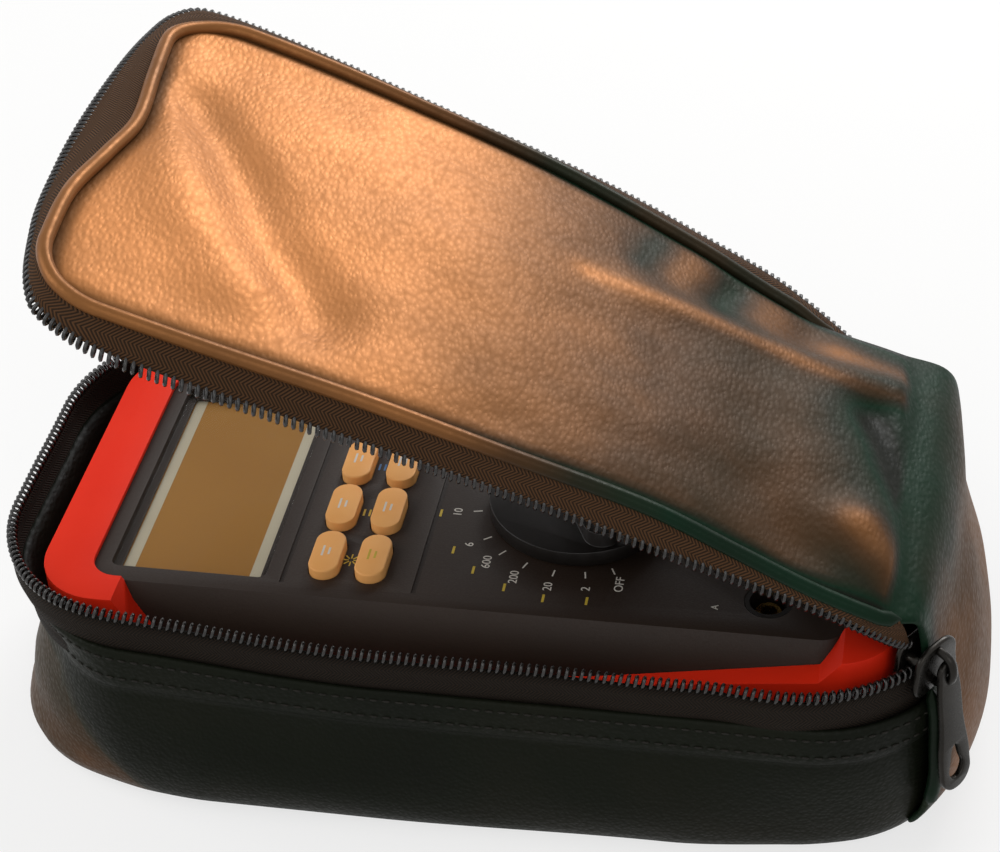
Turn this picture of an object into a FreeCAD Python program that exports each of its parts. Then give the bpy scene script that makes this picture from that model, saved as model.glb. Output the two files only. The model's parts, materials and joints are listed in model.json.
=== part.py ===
import FreeCAD, Part
import math
import os
import re

import Sketcher
from FreeCAD import Placement, Rotation, Vector

# Handheld digital multimeter in a rubber holster, lying in a leather zip case.
# Millimetres, +Z up, +X towards the case's hinge end, origin under the middle of the tray.
SIZES = [
    # Case tray and end panel
    ("case_length", 234.0, "outside length of the case"),
    ("case_width", 120.0, "outside width of the case"),
    ("case_corner", 41.0, "outside corner radius in plan"),
    ("leather", 2.0, "thickness of the leather"),
    ("tray_edge", 9.0, "outside radius of the tray's bottom edge"),
    ("hem_height", 45.0, "height of the tray's hem"),
    ("board_thick", 2.0, "thickness of the stiffener on the tray floor"),
    ("end_panel_width", 80.0, "width of the end panel between its seams"),
    ("end_panel_foot", 12.0, "height where the end panel starts"),
    ("welt_diameter", 2.4, "diameter of the sewn cord on each end seam"),
    # Hinge fold
    ("hinge_inset", 7.5, "hinge line's distance from the end of the case"),
    ("hinge_bead", 3.2, "diameter of the rolled edge that the lid turns on"),
    ("fold_thick", 4.0, "thickness of the rolled fold that holds the bead"),
    # Zipper and lid
    ("tape_thick", 1.0, "thickness of the zipper tape"),
    ("tape_rise", 9.0, "height of the base zipper row above the hem"),
    ("tape_tuck", 8.0, "depth of tape sewn in below the hem"),
    ("coil_diameter", 3.0, "diameter of one zipper coil"),
    ("zip_gap", 1.6, "space between the two coils when the lid lies shut"),
    ("lid_tape_rise", 11.0, "height of the lid's tape above its coil"),
    ("lid_flare", 5.0, "how far the lid's tape leans in towards its top"),
    ("tape_flare", 7.6, "how far the unzipped lid tape stands out from the piping"),
    ("tape_droop", 4.4, "how far the unzipped lid coil hangs below the piping"),
    ("lid_row_stop", 104.0, "width between the lid row's ends beside the hinge"),
    ("piping_diameter", 3.4, "diameter of the piping round the lid"),
    ("lining_thick", 1.0, "thickness of the lid's lining"),
    ("lining_inset", 3.0, "lining's distance from the lid panel's edge"),
    ("lid_swell", 3.5, "height of the padded swell in the lid"),
    ("swell_run", 14.0, "width of the slope round the lid's swell"),
    ("lid_rim", 5.0, "flat rim of the lid's leather round its padding"),
    ("lid_rest_angle", 23.5, "angle at which the lid stands ajar"),
    # Zipper slider and pull
    ("slider_angle", 42.0, "slider's place round the corner, from the X axis"),
    ("slider_length", 12.0, "length of the slider along the zipper"),
    ("slider_plate", 1.2, "thickness of each slider plate"),
    ("slider_room", 0.8, "space between a coil and a slider plate"),
    ("slider_drop", 4.0, "slider's reach below the base row"),
    ("slider_rise", 3.0, "slider's reach above the lid row"),
    ("slider_corner", 3.0, "corner radius of a slider plate"),
    ("lug_width", 1.4, "width of each lug that holds the pull's pin"),
    ("pull_pin", 2.0, "diameter of the pull's pin"),
    ("pull_knuckle", 4.0, "diameter of the pull's knuckle round its pin"),
    ("pull_width", 8.0, "width of the pull tab"),
    ("pull_neck", 5.0, "width of the pull's neck between the lugs"),
    ("pull_neck_length", 7.0, "length of the pull's neck"),
    ("pull_length", 30.0, "length of the pull tab"),
    ("pull_thick", 1.6, "thickness of the pull tab"),
    ("pull_window_width", 4.6, "width of the opening in the pull tab"),
    ("pull_window_length", 10.0, "length of the opening in the pull tab"),
    ("pull_window_edge", 2.2, "metal below the opening in the pull tab"),
    # Holster
    ("holster_floor", 5.0, "rubber under the meter"),
    ("holster_side", 3.2, "rubber beside the meter"),
    ("holster_end", 6.8, "rubber at each end of the meter"),
    ("holster_corner", 16.0, "corner radius of the holster in plan"),
    ("holster_lip", 1.2, "height of the holster's end lips above the face"),
    ("holster_round", 3.0, "rounding of the holster's bottom edge"),
    ("relief_drop", 13.5, "depth of the low sides below the face"),
    ("relief_left", -67.0, "left end of the low sides"),
    ("relief_bend", 22.0, "where the low sides start to rise again"),
    ("relief_right", 84.0, "right end of the low sides"),
    ("relief_right_drop", 5.0, "depth of the low sides at their right end"),
    ("relief_slope", 6.0, "run of the low sides' steep right end"),
    ("relief_sweep", 14.0, "run of the low sides' curved left end"),
    # Meter covers
    ("meter_length", 190.0, "length of the meter"),
    ("meter_width", 91.0, "width of the meter"),
    ("meter_depth", 48.0, "depth of the meter from its back to its face"),
    ("meter_corner", 12.0, "corner radius of the meter in plan"),
    ("bevel_in", 5.5, "how far the sides lean in below the face"),
    ("bevel_rise", 12.0, "height of the leaning sides"),
    ("rear_depth", 22.0, "depth of the rear cover"),
    ("rear_round", 3.0, "rounding of the rear cover's edge"),
    ("cover_wall", 2.5, "wall of both covers"),
    ("groove_width", 1.2, "width of the two grooves across the face"),
    ("groove_depth", 0.6, "depth of the two grooves across the face"),
    ("groove_length", 72.0, "length of the two grooves across the face"),
    ("left_groove", -43.0, "place of the groove beside the display"),
    ("right_groove", -11.2, "place of the groove beside the dial"),
    # Screws, bosses and posts
    ("screw_diameter", 3.0, "diameter of the cover screws"),
    ("screw_head", 5.6, "diameter of the cover screws' heads"),
    ("screw_head_height", 2.0, "height of the cover screws' heads"),
    ("screw_reach", 9.0, "thread of a cover screw above the parting line"),
    ("boss_diameter", 10.4, "diameter of the screw bosses"),
    ("boss_sink", 0.2, "how far a boss grows into the side wall"),
    ("boss_rise", 12.0, "height of the front cover's bosses"),
    ("left_boss", -40.5, "place of the left pair of bosses"),
    ("right_boss", 80.5, "place of the right pair of bosses"),
    ("post_diameter", 6.0, "diameter of the posts that hold the board"),
    ("post_spread", 58.0, "distance between two posts across the meter"),
    ("left_post", -8.0, "place of the left pair of posts"),
    ("right_post", 58.0, "place of the right pair of posts"),
    # Circuit board and display
    ("circuit_height", 23.0, "height of the circuit board above the meter's back"),
    ("circuit_thick", 1.6, "thickness of the circuit board"),
    ("circuit_left", -87.0, "left end of the circuit board"),
    ("circuit_right", 78.0, "right end of the circuit board"),
    ("circuit_width", 65.0, "width of the circuit board"),
    ("window_left", -85.5, "left edge of the display window"),
    ("window_length", 38.3, "display window's size along the meter"),
    ("window_width", 70.0, "display window's size across the meter"),
    ("window_corner", 2.0, "corner radius of the display window"),
    ("window_thick", 1.8, "thickness of the clear window"),
    ("window_sink", 0.2, "depth of the window below the face"),
    ("window_ledge", 2.0, "width of the ledge under the window"),
    ("frame_wall", 1.4, "wall of the frame round the LCD"),
    ("lcd_thick", 2.8, "thickness of the LCD glass"),
    ("backlight_thick", 3.0, "thickness of the backlight panel"),
    ("zebra_thick", 2.0, "thickness of the rubber connector strips"),
    # Keys
    ("key_length", 15.0, "length of a pill key, across the meter"),
    ("key_width", 7.3, "width of a pill key"),
    ("key_pitch", 17.6, "spacing of the key rows, across the meter"),
    ("key_column", -33.9, "place of the left key column"),
    ("key_column_pitch", 11.2, "spacing of the two key columns"),
    ("key_proud", 2.4, "height of a key above the face"),
    ("key_flange", 0.9, "width of the flange round a key"),
    ("key_flange_thick", 1.2, "thickness of the flange round a key"),
    ("key_slack", 0.25, "space between a key and its hole"),
    ("key_travel", 1.2, "travel of a key"),
    ("key_stem", 3.4, "diameter of a key's stem"),
    ("mat_height", 6.0, "height of the keypad mat above the board"),
    ("mat_thick", 1.5, "thickness of the keypad mat"),
    ("mat_length", 26.0, "keypad mat's size along the meter"),
    ("mat_width", 64.0, "keypad mat's size across the meter"),
    ("dome_diameter", 6.0, "diameter of the rubber domes under the mat"),
    # Selector
    ("dial_place", 23.2, "place of the selector along the meter"),
    ("knob_diameter", 44.6, "diameter of the selector knob"),
    ("knob_thick", 4.0, "thickness of the knob's disc"),
    ("knob_height", 8.4, "height of the knob's grip above the face"),
    ("grip_length", 42.0, "length of the knob's grip"),
    ("grip_width", 9.0, "width of the knob's grip"),
    ("pointer_length", 9.0, "length of the pointer set into the grip"),
    ("pointer_width", 1.6, "width of the pointer set into the grip"),
    ("pointer_depth", 0.5, "depth of the pointer set into the grip"),
    ("pointer_margin", 2.0, "pointer's distance from the grip's end"),
    ("knob_rest_angle", -64.0, "where the pointer stands, from the X axis"),
    ("shaft_diameter", 10.0, "diameter of the knob's shaft"),
    ("rotor_diameter", 30.0, "diameter of the selector rotor"),
    ("rotor_thick", 3.0, "thickness of the selector rotor"),
    ("contact_thick", 1.2, "thickness of the contacts under the rotor"),
    ("contact_length", 9.0, "length of a contact under the rotor"),
    ("contact_width", 3.0, "width of a contact under the rotor"),
    ("contact_count", 3, "number of contacts under the rotor"),
    # Input jacks
    ("jack_place", 71.0, "place of the jack row along the meter"),
    ("jack_pitch", 19.0, "spacing of the jacks"),
    ("jack_bore", 4.0, "bore of a jack"),
    ("jack_diameter", 6.0, "outside diameter of a jack's tube"),
    ("jack_recess", 3.0, "depth of a jack's tube below the face"),
    ("shroud_bore", 8.8, "bore of the shroud round a jack"),
    ("shroud_wall", 1.2, "wall of the shroud round a jack"),
    # Battery and its door
    ("battery_length", 48.5, "length of the 9 V battery"),
    ("battery_width", 26.5, "width of the 9 V battery"),
    ("battery_depth", 17.5, "depth of the 9 V battery"),
    ("battery_corner", 2.0, "corner radius of the 9 V battery"),
    ("battery_left", 15.0, "left end of the 9 V battery"),
    ("terminal_thick", 4.0, "thickness of the battery terminal block"),
    ("door_margin", 3.0, "door opening's margin round the battery"),
    ("door_skin", 1.2, "thickness of the door's outer plate"),
    ("door_tab", 10.0, "length of the door's screw tab"),
    ("door_screw", 2.4, "diameter of the door screw"),
    ("door_boss", 7.0, "diameter of the door screw's boss"),
    ("door_boss_rise", 9.0, "height of the door screw's boss above the door"),
    # Small parts on the circuit board
    ("fuse_diameter", 6.3, "diameter of a fuse"),
    ("fuse_length", 32.0, "length of a fuse"),
    ("fuse_drop", 1.0, "space between a fuse and the board"),
    ("fuse_place", -45.0, "place of the fuses along the meter"),
    ("fuse_spread", 40.0, "distance between the two fuses"),
    ("clip_length", 5.0, "length of a fuse clip"),
    ("clip_wall", 0.8, "wall of a fuse clip"),
    ("shunt_place", -22.0, "place of the current shunt along the meter"),
    ("shunt_span", 22.0, "span of the current shunt"),
    ("shunt_drop", 7.0, "drop of the current shunt below the board"),
    ("shunt_wire", 2.0, "thickness of the current shunt's wire"),
    ("chip_size", 14.0, "side of the measuring chip"),
    ("chip_thick", 1.6, "thickness of the measuring chip"),
    ("chip_place", -8.0, "place of the measuring chip along the meter"),
    ("buzzer_diameter", 18.0, "diameter of the buzzer"),
    ("buzzer_thick", 4.0, "thickness of the buzzer"),
    ("buzzer_place", -74.0, "place of the buzzer along the meter"),
    # Clearances
    ("slip", 0.1, "space between pieces that are sewn or pressed together"),
    ("fit_gap", 0.15, "space between the meter and its holster, and like fits"),
    ("running_gap", 0.3, "space between pieces that move past each other"),
]

# Places worked out from the sizes above
FLOOR = "(leather + board_thick)"
BACK = f"({FLOOR} + holster_floor)"
FACE = f"({BACK} + meter_depth)"
PARTING = f"({BACK} + rear_depth)"
ROOF = f"({FACE} - cover_wall)"
BOARD = f"({BACK} + circuit_height)"
BOARD_TOP = f"({BOARD} + circuit_thick)"
BASE_ROW = "(hem_height + tape_rise)"
LID_ROW = f"({BASE_ROW} + coil_diameter + zip_gap)"
HINGE_Z = f"({LID_ROW} + lid_tape_rise + piping_diameter / 2)"
HINGE_X = "(case_length / 2 - hinge_inset)"
FOLD_FOOT = f"({HINGE_Z} - fold_thick)"
ZIP_INSET = "(leather + slip + tape_thick / 2)"
PIPING_INSET = f"({ZIP_INSET} + lid_flare)"
PANEL_INSET = f"({PIPING_INSET} + piping_diameter / 2 + slip)"
CORNER_X = "(case_length / 2 - case_corner)"
CORNER_Y = "(case_width / 2 - case_corner)"
BOSS_Y = "(meter_width / 2 - cover_wall - boss_diameter / 2 + boss_sink)"
WINDOW_X = "(window_left + window_length / 2)"

doc = FreeCAD.newDocument("zip_case_meter")
sheet = doc.addObject("Spreadsheet::Sheet", "sizes")
for row, (alias, value, meaning) in enumerate(SIZES, start=1):
    sheet.set(f"A{row}", meaning)
    sheet.set(f"B{row}", str(value))
    sheet.setAlias(f"B{row}", alias)
doc.recompute()

ALIASES = {alias for alias, value, meaning in SIZES}
PIECES = []


def linked(expression):
    """Point each alias in an expression at the sheet."""
    def to_sheet(word):
        return "sizes." + word.group() if word.group() in ALIASES else word.group()
    return re.sub(r"[a-z_]+", to_sheet, expression)


def number(expression):
    """The present value of an expression of the sheet's aliases."""
    return float(sheet.evalExpression(expression))


def bind(target, prop, expression):
    target.setExpression(prop, linked(str(expression)))


def piece(label, solid, placement=None):
    """Keep a finished sub-part under its label."""
    solid.Label = label
    if placement:
        solid.Placement = placement
    PIECES.append(solid)
    return solid


# Sketches
def sketch_on(body, name, role, x="0", y="0", height="0"):
    sketch = body.newObject("Sketcher::SketchObject", name)
    plane = next(item for item in body.Origin.OriginFeatures if item.Role == role)
    sketch.AttachmentSupport = (plane, [""])
    sketch.MapMode = "FlatFace"
    for axis, place in zip("xyz", (x, y, height)):
        bind(sketch, f"AttachmentOffset.Base.{axis}", place)
    return sketch


def dimension(sketch, name, expression, *geometry):
    index = sketch.addConstraint(Sketcher.Constraint(*geometry, number(expression)))
    sketch.renameConstraint(index, name)
    bind(sketch, f"Constraints.{name}", expression)


def draw_rounded(sketch, length, width, corner, start_mid_side=False):
    """Rounded rectangle about the sketch's origin, if asked with a vertex amid its lower side."""
    half_l, half_w, r = number(length) / 2, number(width) / 2, number(corner)

    def line(x1, y1, x2, y2):
        return sketch.addGeometry(Part.LineSegment(Vector(x1, y1), Vector(x2, y2)))

    def arc(x, y, start):
        circle = Part.Circle(Vector(x, y), Vector(0, 0, 1), r)
        return sketch.addGeometry(Part.ArcOfCircle(circle, start, start + math.pi / 2))

    in_l, in_w = half_l - r, half_w - r
    bottom = line(0 if start_mid_side else -in_l, -half_w, in_l, -half_w)
    loop = [
        bottom,
        arc(in_l, -in_w, -math.pi / 2),
        line(half_l, -in_w, half_l, in_w),
        arc(in_l, in_w, 0),
        line(in_l, half_w, -in_l, half_w),
        arc(-in_l, in_w, math.pi / 2),
        line(-half_l, in_w, -half_l, -in_w),
        arc(-in_l, -in_w, math.pi),
    ]
    if start_mid_side:
        loop.append(line(-in_l, -half_w, 0, -half_w))
        sketch.addConstraint(Sketcher.Constraint("Coincident", loop[8], 2, bottom, 1))
        sketch.addConstraint(Sketcher.Constraint("Horizontal", loop[8]))
        sketch.addConstraint(Sketcher.Constraint("PointOnObject", bottom, 1, -2))
    else:
        sketch.addConstraint(Sketcher.Constraint("Tangent", loop[7], 2, bottom, 1))
    for first, second in zip(loop, loop[1:]):
        sketch.addConstraint(Sketcher.Constraint("Tangent", first, 2, second, 1))
    for flat in (loop[0], loop[4]):
        sketch.addConstraint(Sketcher.Constraint("Horizontal", flat))
    for upright in (loop[2], loop[6]):
        sketch.addConstraint(Sketcher.Constraint("Vertical", upright))
    for other in (loop[3], loop[5]):
        sketch.addConstraint(Sketcher.Constraint("Equal", loop[1], other))
    sketch.addConstraint(Sketcher.Constraint("Symmetric", loop[1], 3, loop[5], 3, -1, 1))
    dimension(sketch, "corner", corner, "Radius", loop[1])
    dimension(sketch, "length", length, "DistanceX", loop[6], 1, loop[2], 1)
    dimension(sketch, "width", width, "DistanceY", loop[0], 1, loop[4], 1)


def draw_polygon(sketch, corners):
    """Closed polygon through corners given as pairs of expressions."""
    points = [Vector(number(u), number(v)) for u, v in corners]
    sides = [
        sketch.addGeometry(Part.LineSegment(start, end))
        for start, end in zip(points, points[1:] + points[:1])
    ]
    for side, following in zip(sides, sides[1:] + sides[:1]):
        sketch.addConstraint(Sketcher.Constraint("Coincident", side, 2, following, 1))
    for index, (side, (u, v)) in enumerate(zip(sides, corners)):
        dimension(sketch, f"u{index}", u, "DistanceX", -1, 1, side, 1)
        dimension(sketch, f"v{index}", v, "DistanceY", -1, 1, side, 1)


# Solids
def slab(name, length, width, corner, low, high, x="0", y="0", role="XY_Plane", taper=None):
    """Rounded slab between two heights over a plane, with sides that may lean."""
    body = doc.addObject("PartDesign::Body", name)
    sketch = sketch_on(body, name + "_outline", role, x, y, low)
    draw_rounded(sketch, length, width, corner)
    pad = body.newObject("PartDesign::Pad", name + "_pad")
    pad.Profile = sketch
    bind(pad, "Length", f"({high}) - ({low})")
    if taper:
        bind(pad, "TaperAngle", taper)
    return body


def round_edges(body, height, radius):
    """Fillet the edges of a body's slab that lie at one height."""
    doc.recompute()
    pad = body.Tip
    level = number(height)
    edges = [
        f"Edge{index}"
        for index, edge in enumerate(pad.Shape.Edges, start=1)
        if all(abs(vertex.Z - level) < 1e-6 for vertex in edge.Vertexes)
    ]
    fillet = body.newObject("PartDesign::Fillet", body.Name + "_round")
    fillet.Base = (pad, edges)
    bind(fillet, "Radius", radius)
    return body


def box(name, along_x, along_y, along_z):
    """Box between pairs of expressions."""
    solid = doc.addObject("Part::Box", name)
    spans = zip("xyz", ("Length", "Width", "Height"), (along_x, along_y, along_z))
    for axis, size, (low, high) in spans:
        bind(solid, size, f"({high}) - ({low})")
        bind(solid, f"Placement.Base.{axis}", low)
    return solid


def across(width, middle="0"):
    """Pair of expressions for a span about a middle."""
    return f"({middle}) - ({width}) / 2", f"({middle}) + ({width}) / 2"


def rod(name, x, y, low, high, diameter):
    """Upright cylinder."""
    solid = doc.addObject("Part::Cylinder", name)
    bind(solid, "Radius", f"({diameter}) / 2")
    bind(solid, "Height", f"({high}) - ({low})")
    for axis, place in zip("xyz", (x, y, low)):
        bind(solid, f"Placement.Base.{axis}", place)
    return solid


def bar(name, x, z, span, diameter, y="0"):
    """Cylinder that lies along Y."""
    solid = doc.addObject("Part::Cylinder", name)
    bind(solid, "Radius", f"({diameter}) / 2")
    bind(solid, "Height", span)
    solid.Placement.Rotation = Rotation(Vector(1, 0, 0), -90)
    for axis, place in zip("xyz", (x, f"({y}) - ({span}) / 2", z)):
        bind(solid, f"Placement.Base.{axis}", place)
    return solid


def fuse(name, *solids):
    whole = doc.addObject("Part::MultiFuse", name)
    whole.Shapes = list(solids)
    whole.Refine = True
    return whole


def cut(name, base, *tools):
    rest = doc.addObject("Part::Cut", name)
    rest.Base = base
    rest.Tool = fuse(name + "_tools", *tools) if len(tools) > 1 else tools[0]
    return rest


def common(name, first, second):
    shared = doc.addObject("Part::MultiCommon", name)
    shared.Shapes = [first, second]
    return shared


def group(name, solids):
    """Several separate solids that share a node."""
    bundle = doc.addObject("Part::Compound", name)
    bundle.Links = solids
    return bundle


def case_slab(name, inset, low, high, taper=None):
    """Slab with the case's plan, drawn in by an inset."""
    return slab(
        name,
        f"case_length - 2 * {inset}",
        f"case_width - 2 * {inset}",
        f"case_corner - {inset}",
        low,
        high,
        taper=taper,
    )


def hinge_end_gap(name, width):
    """Block that clears the hinge end between two points of the case's edge."""
    return box(name, ("0", "case_length"), across(width), ("0", "case_width"))


def case_ring(name, inset, height, gap, section=None, diameter=None):
    """Strip or cord that follows the case's edge and stops at the hinge end."""
    body = doc.addObject("PartDesign::Body", name + "_ring")
    path = sketch_on(body, name + "_path", "XY_Plane", height=height)
    width = f"case_width - 2 * {inset}"
    draw_rounded(path, f"case_length - 2 * {inset}", width, f"case_corner - {inset}", True)
    profile = sketch_on(body, name + "_section", "YZ_Plane", f"-({width}) / 2", height)
    if section:
        draw_polygon(profile, section)
    else:
        circle = Part.Circle(Vector(), Vector(0, 0, 1), number(diameter) / 2)
        index = profile.addGeometry(circle)
        profile.addConstraint(Sketcher.Constraint("Coincident", index, 3, -1, 1))
        dimension(profile, "thickness", diameter, "Diameter", index)
    pipe = body.newObject("PartDesign::AdditivePipe", name + "_pipe")
    pipe.Profile = profile
    pipe.Spine = (path, [""])
    return cut(name, body, hinge_end_gap(name + "_gap", gap))


# Case tray, end panel and hinge fold
tray_block = case_slab("tray_block", "0", "0", "hem_height")
round_edges(tray_block, "0", "tray_edge")
tray_hollow = case_slab("tray_hollow", "leather", "leather", "hem_height + leather")
round_edges(tray_hollow, "leather", "tray_edge - leather")
end_window = box(
    "end_window",
    ("0", "case_length"),
    across("end_panel_width"),
    ("end_panel_foot", "case_width"),
)
piece("case_tray", cut("tray", tray_block, tray_hollow, end_window))

bottom_board = case_slab("stiffener", "tray_edge", "leather", FLOOR)
piece("bottom_board", bottom_board)

end_wall = cut(
    "end_wall",
    case_slab("end_wall_block", "0", "end_panel_foot", FOLD_FOOT),
    case_slab("end_wall_hollow", "leather", "0", HINGE_Z),
)
end_slot = hinge_end_gap("end_slot", "end_panel_width")
piece("case_end_panel", common("end_panel", end_wall, end_slot))

fold_block = common(
    "fold_block",
    case_slab("fold_slab", "0", FOLD_FOOT, HINGE_Z),
    box("fold_span", (HINGE_X, "case_length"), across("end_panel_width"), ("0", "case_width")),
)
fold_groove = bar("fold_groove", HINGE_X, HINGE_Z, "case_width", "hinge_bead + 2 * running_gap")
piece("hinge_fold", cut("fold", fold_block, fold_groove))

WELT_REACH = "(case_corner + welt_diameter / 2 + slip)"
WELT_ANGLE = f"asin((end_panel_width / 2 - {CORNER_Y}) / case_corner)"
WELT_X = f"{CORNER_X} + {WELT_REACH} * cos({WELT_ANGLE})"
WELT_Y = f"({CORNER_Y} + {WELT_REACH} * sin({WELT_ANGLE}))"
welts = [
    rod(f"welt_{side}", WELT_X, f"{sign}{WELT_Y}", "end_panel_foot", "hem_height", "welt_diameter")
    for side, sign in (("near", "-"), ("far", ""))
]
piece("end_seam_welts", group("welts", welts))

# Zipper row on the tray
tape_side = "tape_thick / 2"
base_tape_section = [
    (f"-{tape_side}", "-(tape_rise + tape_tuck)"),
    (tape_side, "-(tape_rise + tape_tuck)"),
    (tape_side, "-coil_diameter / 2"),
    (f"-{tape_side}", "-coil_diameter / 2"),
]
piece(
    "base_zipper_tape",
    case_ring("base_tape", ZIP_INSET, BASE_ROW, "end_panel_width", section=base_tape_section),
)
piece(
    "base_zipper_coil",
    case_ring("base_coil", ZIP_INSET, BASE_ROW, "end_panel_width", diameter="coil_diameter"),
)

# Lid, drawn shut and then turned ajar about the hinge line
hinge_point = Vector(number(HINGE_X), 0, number(HINGE_Z))
lid_turn = Rotation(Vector(0, 1, 0), number("lid_rest_angle"))
ajar = Placement(Vector(), lid_turn, hinge_point)

LID_UNDER = f"({HINGE_Z} - leather / 2)"
LID_TOP = f"({HINGE_Z} + leather / 2)"
SWELL_LEAN = "-atan(swell_run / lid_swell)"
RIM_INSET = f"({PANEL_INSET} + lid_rim)"
lid_sheet = case_slab("lid_sheet", PANEL_INSET, LID_UNDER, LID_TOP)
lid_rise = case_slab("lid_rise", PANEL_INSET, LID_TOP, f"{LID_TOP} + lid_swell", SWELL_LEAN)
lid_hollow = case_slab("lid_hollow", RIM_INSET, LID_UNDER, f"{LID_UNDER} + lid_swell", SWELL_LEAN)
lid_flap = box(
    "lid_flap",
    (f"case_length / 2 - {RIM_INSET}", HINGE_X),
    across("end_panel_width"),
    across("leather", HINGE_Z),
)
lid_bead = bar("lid_bead", HINGE_X, HINGE_Z, "end_panel_width", "hinge_bead")
lid_skin = fuse("lid_skin", lid_sheet, lid_rise, lid_flap, lid_bead)
piece("lid_panel", cut("lid_leather", lid_skin, lid_hollow), ajar)

lining = case_slab(
    "lining",
    f"({PANEL_INSET} + lining_inset)",
    f"{LID_UNDER} - lining_thick",
    LID_UNDER,
)
piece("lid_lining", lining, ajar)

FLARED_INSET = f"({PIPING_INSET} - tape_flare)"
FLARED_ROW = f"({HINGE_Z} - tape_droop)"
TAPE_IN = "(tape_flare - piping_diameter / 2 - slip)"
TAPE_OUT = "(coil_diameter / 2 + slip)"
tape_low = f"tape_droop * {TAPE_OUT} / tape_flare"
tape_high = f"tape_droop * {TAPE_IN} / tape_flare"
lid_tape_section = [
    (TAPE_OUT, f"{tape_low} - {tape_side}"),
    (TAPE_IN, f"{tape_high} - {tape_side}"),
    (TAPE_IN, f"{tape_high} + {tape_side}"),
    (TAPE_OUT, f"{tape_low} + {tape_side}"),
]
piece(
    "lid_zipper_tape",
    case_ring("lid_tape", FLARED_INSET, FLARED_ROW, "lid_row_stop", section=lid_tape_section),
    ajar,
)
piece(
    "lid_zipper_coil",
    case_ring("lid_coil", FLARED_INSET, FLARED_ROW, "lid_row_stop", diameter="coil_diameter"),
    ajar,
)
PIPING_GAP = "end_panel_width + piping_diameter"
piece(
    "lid_piping",
    case_ring("piping", PIPING_INSET, HINGE_Z, PIPING_GAP, diameter="piping_diameter"),
    ajar,
)

# Zipper slider and pull, drawn with X outwards from the corner's centre
corner_point = Vector(number(CORNER_X), -number(CORNER_Y), 0)
at_corner = Placement(corner_point, Rotation(Vector(0, 0, 1), -number("slider_angle")))
ROW_REACH = f"(case_corner - {ZIP_INSET})"
CHANNEL = "(coil_diameter / 2 + slider_room)"
PIN_X = f"({ROW_REACH} + {CHANNEL} + slider_plate + running_gap + pull_knuckle / 2)"
PIN_Z = f"(({BASE_ROW} + {LID_ROW}) / 2)"
SLIDER_FOOT = f"({BASE_ROW} - slider_drop)"
SLIDER_TOP = f"({LID_ROW} + slider_rise)"


def slider_plate(name, low):
    return slab(
        name,
        "slider_length",
        f"{SLIDER_TOP} - {SLIDER_FOOT}",
        "slider_corner",
        low,
        f"{low} + slider_plate",
        y=f"({SLIDER_FOOT} + {SLIDER_TOP}) / 2",
        role="YZ_Plane",
    )


slider_bridge = box(
    "slider_bridge",
    across(f"2 * {CHANNEL} + slider_plate", ROW_REACH),
    across("slider_length / 2"),
    (
        f"{BASE_ROW} + coil_diameter / 2 + running_gap",
        f"{LID_ROW} - coil_diameter / 2 - running_gap",
    ),
)
LUG_MIDDLE = "(pull_neck / 2 + running_gap + lug_width / 2)"
lugs = [
    box(
        f"slider_lug_{side}",
        (f"{ROW_REACH} + {CHANNEL}", f"{PIN_X} + pull_pin"),
        across("lug_width", f"{sign}{LUG_MIDDLE}"),
        across("2 * pull_pin", PIN_Z),
    )
    for side, sign in (("left", "-"), ("right", ""))
]
slider_pin = bar("slider_pin", PIN_X, PIN_Z, f"2 * {LUG_MIDDLE} + lug_width", "pull_pin")
slider = fuse(
    "slider",
    slider_plate("slider_outer", f"({ROW_REACH} + {CHANNEL})"),
    slider_plate("slider_inner", f"({ROW_REACH} - {CHANNEL} - slider_plate)"),
    slider_bridge,
    slider_pin,
    *lugs,
)
piece("zipper_slider", slider, at_corner)

PULL_TOP = PIN_Z
PULL_FOOT = f"({PULL_TOP} - pull_length)"
PULL_LOW = f"({PIN_X} - pull_thick / 2)"
PULL_HIGH = f"({PIN_X} + pull_thick / 2)"
pull_tab = slab(
    "pull_tab",
    "pull_width",
    f"{PULL_TOP} - pull_neck_length - {PULL_FOOT}",
    "pull_width / 2 - slip",
    PULL_LOW,
    PULL_HIGH,
    y=f"({PULL_TOP} - pull_neck_length + {PULL_FOOT}) / 2",
    role="YZ_Plane",
)
pull_neck = slab(
    "pull_neck_bar",
    "pull_neck",
    "pull_neck_length + pull_neck",
    "slip",
    PULL_LOW,
    PULL_HIGH,
    y=f"{PULL_TOP} - (pull_neck_length + pull_neck) / 2",
    role="YZ_Plane",
)
pull_window = slab(
    "pull_window",
    "pull_window_width",
    "pull_window_length",
    "pull_window_width / 2 - slip",
    f"{PULL_LOW} - slip",
    f"{PULL_HIGH} + slip",
    y=f"{PULL_FOOT} + pull_window_edge + pull_window_length / 2",
    role="YZ_Plane",
)
pull_knuckle = bar("pull_knuckle_bar", PIN_X, PIN_Z, "pull_neck", "pull_knuckle")
pull_eye = bar("pull_eye", PIN_X, PIN_Z, "pull_width", "pull_pin + 2 * fit_gap")
pull_blank = fuse("pull_blank", pull_tab, pull_neck, pull_knuckle)
piece("zipper_pull", cut("pull", pull_blank, pull_window, pull_eye), at_corner)


# Meter covers share one outline that leans in towards the face
def meter_form(name, grow, low, high):
    """Outline of the meter, grown or drawn in, between two heights."""
    length = f"meter_length + 2 * ({grow})"
    width = f"meter_width + 2 * ({grow})"
    corner = f"meter_corner + ({grow})"
    shoulder = f"({FACE} - bevel_rise)"
    lower = slab(name + "_lower", length, width, corner, low, shoulder)
    lean = "-atan(bevel_in / bevel_rise)"
    upper = slab(name + "_upper", length, width, corner, shoulder, high, taper=lean)
    return fuse(name, lower, upper)


def both_sides(name, make):
    """Two copies, one on each side of the meter."""
    return [make(f"{name}_near", "-"), make(f"{name}_far", "")]


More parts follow.
